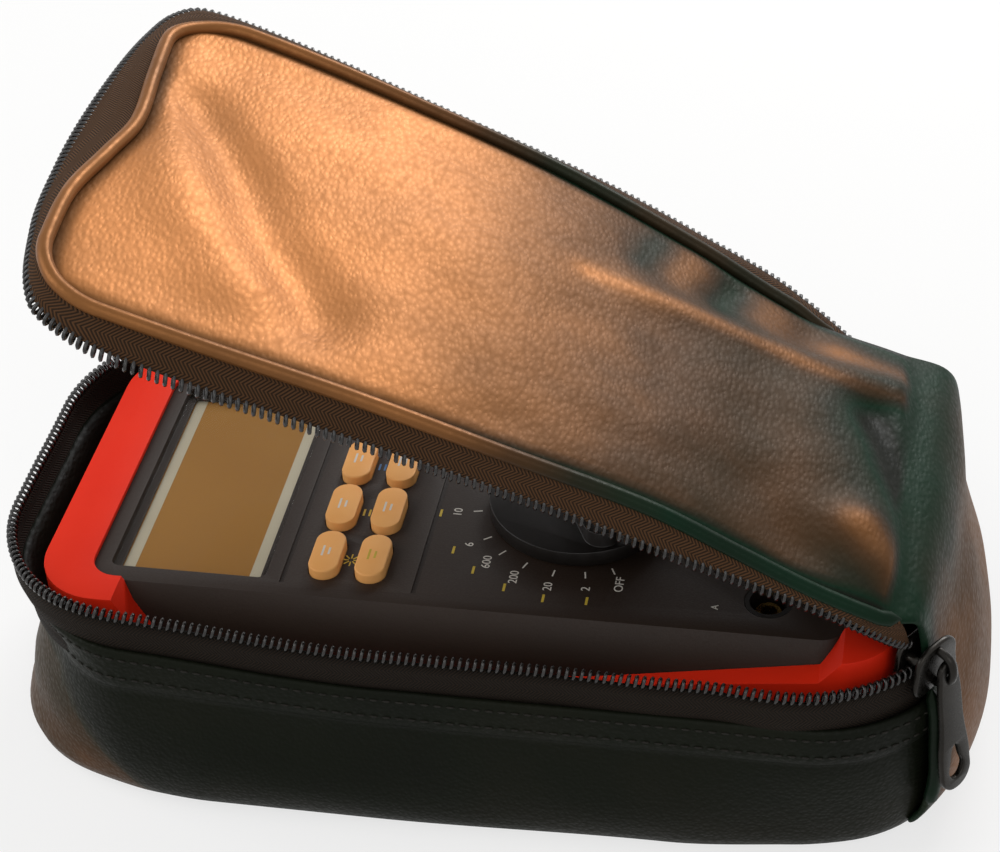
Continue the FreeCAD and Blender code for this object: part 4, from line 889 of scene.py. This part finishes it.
# Each point of the cord has the way that leads out from the lid; the far end dives under the fold.
piping_line, piping_sheen = [], []
for i, p in enumerate(edge_line):
    ahead = edge_line[min(i + 1, len(edge_line) - 1)] - edge_line[max(i - 1, 0)]
    outward = OFF_LID.cross(ahead).normalized()
    lift = PIPING_LIFT - PIPING_DIVE * ease(len(edge_line) - 7, len(edge_line) - 1, i)
    piping_line.append((p + PIPING_OUT * outward + lift * OFF_LID, outward))
    # Painted sheen on the cord: little by the hinge, more along the lid, and less again along the far side.
    painted_shine = 0.27 + 0.5 * ease(22, 48, i) - 0.32 * ease(140, 175, i)
    piping_sheen.append([painted_shine] * CORD_SIDES)
rows = tube([p for p, out in piping_line], PIPING_RADIUS)
mesh = joined("lid_piping_cord", [grid_mesh("piping", rows, closed=True, painted_sheen=piping_sheen)])
piping = show("lid_piping_cord", mesh, piping_leather, ["lid_piping"])
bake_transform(piping)
print("piping faces:", len(piping.data.polygons))

# %% Welts
# The seam cords get an even, low painted sheen.
WELT_FIRST_ROW, WELT_TOP, WELT_SHEEN = 4, 52, 0.2
pieces = []
for side, shift in ((0, -0.6), (-1, 0.6)):
    edge = [row[side] for row in sheet_rows[WELT_FIRST_ROW:wall_rows - WALL_LEAD]]
    seam = [p + Vector((0.2, shift, 0)) for p in edge if p.z < WELT_TOP]
    welt_sheen = [[WELT_SHEEN] * CORD_SIDES] * len(seam)
    pieces.append(grid_mesh("welt", tube(seam, WELT_RADIUS), closed=True, painted_sheen=welt_sheen))
mesh = joined("end_seam_cords", pieces)
show("end_seam_cords", mesh, piping_leather, ["end_seam_welts"], "base")
print("welt faces:", len(mesh.polygons))

# %% [markdown]
# ## Zipper tapes
#
# The base tape stands up from inside the hem. The lid tape leaves the piping, leans outwards, and at
# the hinge end it runs down to the slider, where the two rows meet. Both are strips between lines
# that run side by side, so the weave can follow them.

# %% Base tape
TAPE_INSET, TAPE_THICK, PAST_SLIDER, TAPE_STEPS = 2.6, 0.9, 5, 420
# Offset from the tape's outline and height, and the same for the middle of the teeth.
TAPE_LEVELS = [(0.2, 38), (0.4, 43), (0.7, 46), (0.8, 48.5), (0.5, 51), (0.1, 53.4)]
TEETH_LEVEL = (-0.2, 54.6)
UPWARDS = Vector((0, 0, 1))


def strip_mesh(name, lines):
    """Strip of tape between lines that run side by side, with a UV map in metres."""
    rows, uv = [list(pair) for pair in zip(*lines)], []
    run = 0.0
    for i, row in enumerate(rows):
        if i:
            run += (Vector(row[0]) - Vector(rows[i - 1][0])).length * MM
        across, v = 0.0, []
        for j, p in enumerate(row):
            if j:
                across += (Vector(p) - Vector(row[j - 1])).length * MM
            v.append((run, across))
        uv.append(v)
    return grid_mesh(name, rows, uv=uv)


def base_tape_point(spot, offset, z):
    """Place on the base tape, which is loose along the sides and runs true at the slider's corner."""
    x, y, nx, ny = spot
    d = offset + left_end(x) * (2.2 * ease(40, 50, z) - 3.2)
    loose = 0.5 * noise.noise(Vector((x / 24, y / 24, 3.3))) - 1.4 * ny * ny * (1 - left_end(x))
    d += loose * (1 - ease(58, CORNER_X, x))
    return Vector((x + d * nx, y + d * ny, z + rim_rise(x) * ease(16, 45, z)))


slider_low, slider_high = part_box("zipper_slider")
slider_spot = (slider_low + slider_high) / 2 / MM
tape_spots = clear_of_hinge(case_outline(TAPE_STEPS, TAPE_INSET), abs(slider_spot.y) - PAST_SLIDER)
lines = [[base_tape_point(s, d, z) for s in tape_spots] for d, z in TAPE_LEVELS]
base_tape = show("base_tape_strip", strip_mesh("base_tape_strip", lines), shaded_tape,
                 ["base_zipper_tape"])
thicken(base_tape, TAPE_THICK)
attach(base_tape, "base")
base_teeth_line = [(base_tape_point(s, *TEETH_LEVEL), UPWARDS) for s in tape_spots]
print("base tape faces:", len(base_tape.data.polygons))

# %% Lid tape
# Place along the edge (0 near hinge, 1 near corner, 2 far corner, 3 far hinge), then lid coordinates.
ZIP_EDGE = [
    (0.0, 2, -51.3, -4.4), (0.06, 12, -51.8, -4), (0.15, 31, -52.4, -4), (0.32, 67, -54.2, -4),
    (0.43, 90, -55, -4), (0.59, 123, -58, -4), (0.75, 155, -61.4, -4), (0.86, 179, -63.6, -4),
    (0.93, 193, -62.8, -4.2), (1.0, 205.4, -56.4, -4.6), (1.2, 213.0, -33.4, -5), (1.4, 215.1, -10, -5),
    (1.6, 215.4, 12, -5), (1.8, 214.4, 35.6, -5), (1.92, 212.6, 51.5, -5), (2.0, 209.4, 63, -4.8),
    (2.06, 202.6, 69, -4.2), (2.16, 178, 69.2, -3), (2.36, 135, 67.6, -3), (2.53, 98, 65.8, -3),
    (2.66, 70, 60.8, -3), (2.8, 42, 54, -3.4), (2.86, 29, 45.6, -5), (3.0, 2, 43, -7),
]
TAPE_START, END_POINTS, TAPE_COLUMNS, TAPE_BOW = 8.0, 8, 6, 0.8
near_end = [Vector((103.0, -42.5, 60.8)), Vector((96.5, -48.5, 66.0))]
far_end = [Vector((p.x, -p.y, p.z)) for p in near_end]


def up_lid(row):
    """Share of the way up the lid of a row of the piping."""
    return (TAPE_START + (LID_END - TAPE_START) * row / (near_count - 1)) / LID_END


def station(i):
    """Place along the edge of a point of the piping."""
    if i < near_count:
        return up_lid(i)
    if i < near_count + left_count:
        return 1 + (i - near_count + 1) / (left_count + 1)
    return 3 - up_lid(len(piping_line) - 1 + FAR_SKIP - i)


# The tape leaves the lid just under the piping.
inner = [p - 0.9 * OFF_LID - 0.5 * out for p, out in piping_line]
zip_line = [on_lid(*profile_value(ZIP_EDGE, station(i))) for i in range(len(piping_line))]
for i in range(END_POINTS):
    share = 1 - ease(0, END_POINTS, i)
    for k, end in ((i, near_end), (len(zip_line) - 1 - i, far_end)):
        zip_line[k] = zip_line[k].lerp(end[0].lerp(end[1], i / END_POINTS), share)
lines = []
for k in range(TAPE_COLUMNS + 1):
    bow = TAPE_BOW * math.sin(math.pi * k / TAPE_COLUMNS) * OFF_LID
    lines.append([p.lerp(q, k / TAPE_COLUMNS) + bow for p, q in zip(inner, zip_line)])
lid_tape = show("lid_tape_strip", strip_mesh("lid_tape_strip", lines), zipper_tape,
                ["lid_zipper_tape"])
thicken(lid_tape, TAPE_THICK)
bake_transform(lid_tape)
print("lid tape faces:", len(lid_tape.data.polygons))

# %% [markdown]
# ## Zipper teeth by Geometry Nodes
#
# A coil zipper's teeth are loops of one nylon thread, wound round the edge of the tape. The line
# of the edge is a string of points that know which way the tape runs out. The node tree turns it
# into a curve, cuts it at the pitch of the teeth and puts a flat ring at each cut.

# %% Node trees that lay a shape along a line
def node_tree(name, sizes):
    """A new tree with named sizes and a material to set, its input sockets and its output node."""
    tree = bpy.data.node_groups.new(name, "GeometryNodeTree")
    tree.interface.new_socket("Geometry", in_out="INPUT", socket_type="NodeSocketGeometry")
    for label in sizes:
        tree.interface.new_socket(label, in_out="INPUT", socket_type="NodeSocketFloat")
    tree.interface.new_socket("Material", in_out="INPUT", socket_type="NodeSocketMaterial")
    tree.interface.new_socket("Geometry", in_out="OUTPUT", socket_type="NodeSocketGeometry")
    return tree, tree.nodes.new("NodeGroupInput").outputs, tree.nodes.new("NodeGroupOutput")


def lay_along(tree, given, result, unit):
    """End a tree with copies of a unit on the line, turned to it and to its 'across' direction."""
    curve = add(tree, "GeometryNodeMeshToCurve", links={"Mesh": given["Geometry"]})
    cuts = add(tree, "GeometryNodeResampleCurve", {"mode": "LENGTH"}, links={
        "Curve": curve.outputs[0], "Length": given["Pitch"]})
    across = add(tree, "GeometryNodeInputNamedAttribute", {"data_type": "FLOAT_VECTOR"}, {"Name": "across"})
    turn = add(tree, "FunctionNodeAxesToRotation", {"primary_axis": "X", "secondary_axis": "Y"}, links={
        "Primary Axis": add(tree, "GeometryNodeInputTangent").outputs[0],
        "Secondary Axis": across.outputs[0]})
    copies = add(tree, "GeometryNodeInstanceOnPoints", links={
        "Points": cuts.outputs[0], "Instance": unit, "Rotation": turn.outputs[0]})
    real = add(tree, "GeometryNodeRealizeInstances", links={"Geometry": copies.outputs[0]})
    finished = add(tree, "GeometryNodeSetMaterial", links={
        "Geometry": real.outputs[0], "Material": given["Material"]})
    link(tree, result, {0: finished.outputs[0]})


def used_up(obj):
    """Plain mesh of an object that is needed no more."""
    mesh = plain_mesh(obj)
    bpy.data.objects.remove(obj)
    return mesh


def run_tree(name, tree, line, settings):
    """Plain mesh of a node tree over a line of (point in mm, across direction)."""
    mesh = bpy.data.meshes.new(name)
    mesh.from_pydata([p * MM for p, across in line], [(i, i + 1) for i in range(len(line) - 1)], [])
    layer = mesh.attributes.new("across", "FLOAT_VECTOR", "POINT")
    layer.data.foreach_set("vector", [v for p, across in line for v in across])
    obj = placed(name, mesh)
    modifier = obj.modifiers.new("nodes", "NODES")
    modifier.node_group = tree
    sockets = {item.name: item.identifier for item in tree.interface.items_tree if item.in_out == "INPUT"}
    for label, value in settings.items():
        modifier[sockets[label]] = value
    return shade(used_up(obj))


print("points on the teeth's lines:", len(base_teeth_line), len(zip_line))

# %% Teeth
COIL_SLANT = math.radians(14)
coil_tree, given, result = node_tree("coil_teeth", ("Pitch", "Width", "Height", "Thread"))
ring = add(coil_tree, "GeometryNodeCurvePrimitiveCircle", values={"Resolution": 9, "Radius": 0.5})
size = add(coil_tree, "ShaderNodeCombineXYZ", values={"Z": 1.0},
           links={"X": given["Height"], "Y": given["Width"]})
flat = add(coil_tree, "GeometryNodeTransform", links={"Geometry": ring.outputs[0], "Scale": size.outputs[0]})
stand = add(coil_tree, "GeometryNodeTransform", values={"Rotation": (0, math.pi / 2, COIL_SLANT)},
            links={"Geometry": flat.outputs[0]})
thread = add(coil_tree, "GeometryNodeCurvePrimitiveCircle", values={"Resolution": 5},
             links={"Radius": given["Thread"]})
loop = add(coil_tree, "GeometryNodeCurveToMesh", links={
    "Curve": stand.outputs[0], "Profile Curve": thread.outputs[0]})
lay_along(coil_tree, given, result, loop.outputs[0])

coil = {"Pitch": 1.75 * MM, "Width": 2.7 * MM, "Height": 1.9 * MM, "Thread": 0.48 * MM,
        "Material": coil_nylon}
base_teeth = run_tree("base_coil_teeth", coil_tree, base_teeth_line, coil)
show("base_coil_teeth", base_teeth, coil_nylon, ["base_zipper_coil"], "base")
lid_teeth_line = []
for p, q in zip(inner, zip_line):
    way_out = (q - p).normalized()
    lid_teeth_line.append((q + 0.5 * way_out, way_out))
mesh = run_tree("lid_coil_teeth", coil_tree, lid_teeth_line, coil)
lid_teeth = show("lid_coil_teeth", mesh, coil_nylon, ["lid_zipper_coil"])
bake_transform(lid_teeth)
print("teeth faces:", len(base_teeth.polygons), len(lid_teeth.data.polygons))

# %% [markdown]
# ## Stitches on the hem
#
# Two rows of lockstitch hold the hem and the tape. A stitch is a short grain of thread that sinks in
# at both ends; the same kind of tree lays it along the wall, 3 mm apart.

# %% Stitches
HEM_END, HEM_STEPS = 46, 320
STITCH_OFFSET, STITCH_HEIGHTS = -0.25, (43.4, 38.2)
stitch_tree, given, result = node_tree("hem_stitches", ("Pitch", "Length", "Thread"))
ball = add(stitch_tree, "GeometryNodeMeshUVSphere", values={"Segments": 6, "Rings": 4, "Radius": 0.5})
size = add(stitch_tree, "ShaderNodeCombineXYZ", links={
    "X": given["Length"], "Y": given["Thread"], "Z": given["Thread"]})
grain = add(stitch_tree, "GeometryNodeTransform", links={
    "Geometry": ball.outputs[0], "Scale": size.outputs[0]})
lay_along(stitch_tree, given, result, grain.outputs[0])

stitch = {"Pitch": 3.0 * MM, "Length": 2.3 * MM, "Thread": 0.6 * MM, "Material": stitch_thread}
hem_spots = clear_of_hinge(case_outline(HEM_STEPS, hinge_radius=TRAY_HINGE_RADIUS), HEM_END)
stitch_rows = []
for height in STITCH_HEIGHTS:
    line = [(Vector(tray_point(s, STITCH_OFFSET, height)), UPWARDS) for s in hem_spots]
    stitch_rows.append(run_tree("hem_row", stitch_tree, line, stitch))
mesh = joined("hem_stitches", stitch_rows)
show("hem_stitches", mesh, stitch_thread, body="base")
print("stitch faces:", len(mesh.polygons))

# %% [markdown]
# ## Moulded pieces with rounded edges
#
# Rubber and plastic mouldings have no sharp edges. A copy of each visible moulding is merged, its
# flat faces are joined again, and a narrow bevel rounds what is left.

# %% Rounded mouldings
KEYS = range(1, 9)
SHARP, FLAT = math.radians(28), math.radians(1)


def rounded(node, name, radius_mm, material, body):
    """A copy of a CAD node with its sharp edges rounded."""
    source = frame["nodes"][node].data.copy()
    bm = bmesh.new()
    bm.from_mesh(source)
    bmesh.ops.remove_doubles(bm, verts=bm.verts, dist=1e-6)
    bmesh.ops.dissolve_limit(bm, angle_limit=FLAT, verts=bm.verts, edges=bm.edges)
    bm.to_mesh(source)
    bm.free()
    obj = show(name, shade(source), material, [node])
    bevel = obj.modifiers.new("rounded_edges", "BEVEL")
    bevel.width = radius_mm * MM
    bevel.segments = 3
    bevel.limit_method = "ANGLE"
    bevel.angle_limit = SHARP
    bevel.harden_normals = True
    settle(obj)
    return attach(obj, body)


made = [
    rounded("holster", "holster_moulding", 1.2, holster_rubber, "base"),
    rounded("front_cover", "front_cover_moulding", 0.5, cover_plastic, "base"),
    rounded("selector_knob", "selector_knob_moulding", 0.7, knob_plastic, "selector"),
    rounded("display_window", "display_window_pane", 0.25, clear_acrylic, "base"),
]
for i in KEYS:
    made.append(rounded(f"key_{i}", f"key_cap_{i}", 1.1, key_rubber, f"key_{i}"))
print("rounded mouldings:", len(made))

# %% [markdown]
# ## Slider and pull
#
# The slider is a small zinc casting: two shield-shaped plates with a post between them, and a bail in
# front that carries the pull. The pull is a stamped tab that widens downwards, with an opening at its
# foot. Flat outlines with a rounded rim are what Blender's 2D curves give, so both start as curves.
# They are drawn with X outwards from the corner's centre and then turned to the slider's place.

# %% Stamped and bent metal
SLIDER_TURN, PULL_LEAN = math.radians(-36), math.radians(-9)
METAL_SIDES = 12
AT_CORNER = Matrix.Translation((CORNER_X * MM, -CORNER_Y * MM, 0)) @ Matrix.Rotation(SLIDER_TURN, 4, "Z")


def stamped(outlines, thick_mm, rim_mm, reach_mm):
    """Mesh of a flat plate with a rounded rim, so far from the corner's centre.

    Outlines are lists of (tangent, height) points in mm, and those after the first are holes.
    """
    curve = bpy.data.curves.new("stamping", "CURVE")
    curve.dimensions = "2D"
    curve.fill_mode = "BOTH"
    curve.extrude = (thick_mm / 2 - rim_mm) * MM
    curve.bevel_depth = rim_mm * MM
    curve.bevel_resolution = 2
    for points in outlines:
        spline = curve.splines.new("BEZIER")
        spline.bezier_points.add(len(points) - 1)
        for knot, (u, v) in zip(spline.bezier_points, points):
            knot.co = (u * MM, v * MM, 0)
            knot.handle_left_type = knot.handle_right_type = "AUTO"
        spline.use_cyclic_u = True
    mesh = used_up(placed("stamping", curve))
    stand = Matrix(((0, 0, 1, reach_mm * MM), (1, 0, 0, 0), (0, 1, 0, 0), (0, 0, 0, 1)))
    mesh.transform(AT_CORNER @ stand)
    return mesh


def corner_tube(points, radius):
    """Tube along (reach, tangent, height) points in mm at the slider's corner."""
    line = [AT_CORNER @ (Vector(p) * MM) / MM for p in points]
    return grid_mesh("tube", tube(line, radius, METAL_SIDES), closed=True)


print("slider's corner:", [round(v, 4) for v in AT_CORNER.translation])

# %% Slider and pull
FRONT_REACH, BACK_REACH, PLATE_THICK, PLATE_RIM = 41.2, 35.6, 1.5, 0.55
POST_SIDE, POST_Z, POST_RADIUS, BAIL_RADIUS = -4.2, 58.4, 1.2, 1.05
TAB_REACH, TAB_THICK, TAB_RIM = 44.6, 1.6, 0.45
PIN = (44.2, 0, 56.3)
shield = [(-6, 50.6), (0, 50.2), (6, 50.6), (6.3, 55.8), (5.2, 60.2), (0, 61.6), (-5.2, 60.2), (-6.3, 55.8)]
bail = [(41.2, 0, 50.9), (43.6, 0, 51.6), (45.9, 0, 54.2), (46.2, 0, 57.0), (44.9, 0, 59.6), (41.2, 0, 60.6)]
post = [(reach, POST_SIDE, POST_Z) for reach in (BACK_REACH, 37.2, 39.4, FRONT_REACH)]
casting = joined("zipper_slider_casting", [
    stamped([shield], PLATE_THICK, PLATE_RIM, FRONT_REACH),
    stamped([shield], PLATE_THICK, PLATE_RIM, BACK_REACH),
    corner_tube(post, POST_RADIUS),
    corner_tube(along(bail, 0.8), BAIL_RADIUS),
])
show("zipper_slider_casting", casting, zipper_metal, ["zipper_slider"], "slider")
tab = [(-1.7, 57.6), (1.7, 57.6), (2.7, 54.0), (3.4, 41.0), (4.5, 29.5), (3.8, 25.0), (0, 23.2),
       (-3.8, 25.0), (-4.5, 29.5), (-3.4, 41.0), (-2.7, 54.0)]
eye = [(-0.9, 55.9), (0.9, 55.9), (1.1, 53.6), (-1.1, 53.6)]
opening = [(0, 35.6), (2.3, 31.0), (2.8, 27.4), (0, 25.2), (-2.8, 27.4), (-2.3, 31.0)]
pull = joined("zipper_pull_tab", [stamped([tab, eye, opening], TAB_THICK, TAB_RIM, TAB_REACH)])
to_pin = AT_CORNER @ Matrix.Translation(Vector(PIN) * MM)
pull.transform(to_pin @ Matrix.Rotation(PULL_LEAN, 4, "Y") @ to_pin.inverted())
show("zipper_pull_tab", pull, zipper_metal, ["zipper_pull"], "pull")
print("slider and pull faces:", len(casting.polygons), len(pull.polygons))

# %% [markdown]
# ## Print on the face
#
# The legend round the dial is plain numbers and ticks, printed in white and yellow. Text becomes a
# mesh first and is then laid on the face, reading away from the near side as on any such meter.

# %% Print helpers
FACE_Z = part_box("front_cover")[1].z / MM
# Half the thickness of the print, in mm, drawn thick enough to stand clear of the face.
INK = 0.02
PRINT_Z = FACE_Z + INK
ACROSS = math.pi / 2


def printed_text(words, size_mm, x, y):
    """Mesh of words on the face, centred on a place in mm."""
    curve = bpy.data.curves.new("words", "FONT")
    curve.body = words
    curve.size = size_mm * MM
    curve.extrude = INK * MM
    curve.align_x, curve.align_y = "CENTER", "CENTER"
    mesh = used_up(placed("words", curve))
    mesh.transform(Matrix.Translation((x * MM, y * MM, PRINT_Z * MM)) @ Matrix.Rotation(ACROSS, 4, "Z"))
    return mesh


def printed_bar(length_mm, width_mm, x, y, turn, z=PRINT_Z):
    """Mesh of a short printed stroke, centred on a place in mm and turned from the X axis."""
    half, side = length_mm / 2, width_mm / 2
    edge = [(-half, -side), (half, -side), (half, side), (-half, side)]
    bm = bmesh.new()
    top = [bm.verts.new((u * MM, v * MM, INK * MM)) for u, v in edge]
    low = [bm.verts.new((u * MM, v * MM, -INK * MM)) for u, v in edge]
    bm.faces.new(top)
    bm.faces.new(list(reversed(low)))
    for i in range(len(edge)):
        k = (i + 1) % len(edge)
        bm.faces.new((low[i], low[k], top[k], top[i]))
    mesh = bpy.data.meshes.new("stroke")
    bm.to_mesh(mesh)
    bm.free()
    mesh.transform(Matrix.Translation((x * MM, y * MM, z * MM)) @ Matrix.Rotation(turn, 4, "Z"))
    return mesh


def printed(name, meshes, material, body="base"):
    """Show several marks as one flat piece."""
    mesh = shade(joined(name, meshes), smooth=False)
    return show(name, mesh, material, body=body)


print("face height:", round(FACE_Z, 2), "mm")

# %% Legend of the face
DIAL = Vector((23.2, 0.0, 0.0))
TICK_RADIUS, NUMBER_RADIUS, MARK_RADIUS = 25.2, 30, 34.2
legend = [(-64.3, "OFF"), (-79.6, "2"), (-96.7, "20"), (-113.5, "200"), (-129.9, "600"), (-144.8, "6"),
          (-168.7, "10")]
white, yellow, blue = [printed_text("A", 2.4, 59, -32)], [], []
for angle, words in legend:
    turn = math.radians(angle)
    way = Vector((math.cos(turn), math.sin(turn), 0))
    number, tick, mark = (DIAL + radius * way for radius in (NUMBER_RADIUS, TICK_RADIUS, MARK_RADIUS))
    white.append(printed_text(words, 3.0, number.x, number.y))
    white.append(printed_bar(2.2, 0.35, tick.x, tick.y, turn))
    if words != "OFF":
        yellow.append(printed_bar(2.6, 0.6, mark.x, mark.y, ACROSS))
# Beside the keys: a small sun, and a pair of strokes in each of two colours.
MARKS_X, SUN_Y, SUN_RADIUS, PAIR_Y = -28.3, -26.4, 1.35, 8.8
for k in range(8):
    turn = math.pi / 4 * k
    yellow.append(printed_bar(1.5, 0.34, MARKS_X + SUN_RADIUS * math.cos(turn),
                              SUN_Y + SUN_RADIUS * math.sin(turn), turn))
for marks, y in ((yellow, -PAIR_Y), (blue, PAIR_Y)):
    marks.extend(printed_bar(2.4, 0.5, MARKS_X + dx, y, ACROSS) for dx in (-0.7, 0.7))
prints = [
    printed("face_print_white", white, white_print),
    printed("face_print_yellow", yellow, yellow_print),
    printed("face_print_blue", blue, blue_print),
]
print("marks on the face:", len(white) + len(yellow) + len(blue))

# %% Marks on the keys and the display
YELLOW_KEY = 5
END_STRIP_WIDTH, END_STRIP_IN = 2.8, 3.4
for i in KEYS:
    low, high = (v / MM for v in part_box(f"key_{i}"))
    spot = (low + high) / 2
    strokes = [printed_bar(length, 0.5, spot.x + dx, spot.y, ACROSS, high.z + 0.01)
               for dx, length in ((-1.0, 3.6), (0.5, 2.4))]
    ink = yellow_print if i == YELLOW_KEY else white_print
    prints.append(printed(f"key_print_{i}", strokes, ink, f"key_{i}"))
low, high = (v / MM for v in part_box("lcd_panel"))
strips = [printed_bar(high.y - low.y - 1.0, END_STRIP_WIDTH, x, 0, ACROSS, high.z + 0.04)
          for x in (low.x + END_STRIP_IN, high.x - END_STRIP_IN)]
prints.append(printed("display_end_strips", strips, display_plastic))
print("printed pieces:", len(prints))

# %% Close the scene
bpy.context.scene.view_settings.view_transform = "Standard"
bpy.context.view_layer.update()
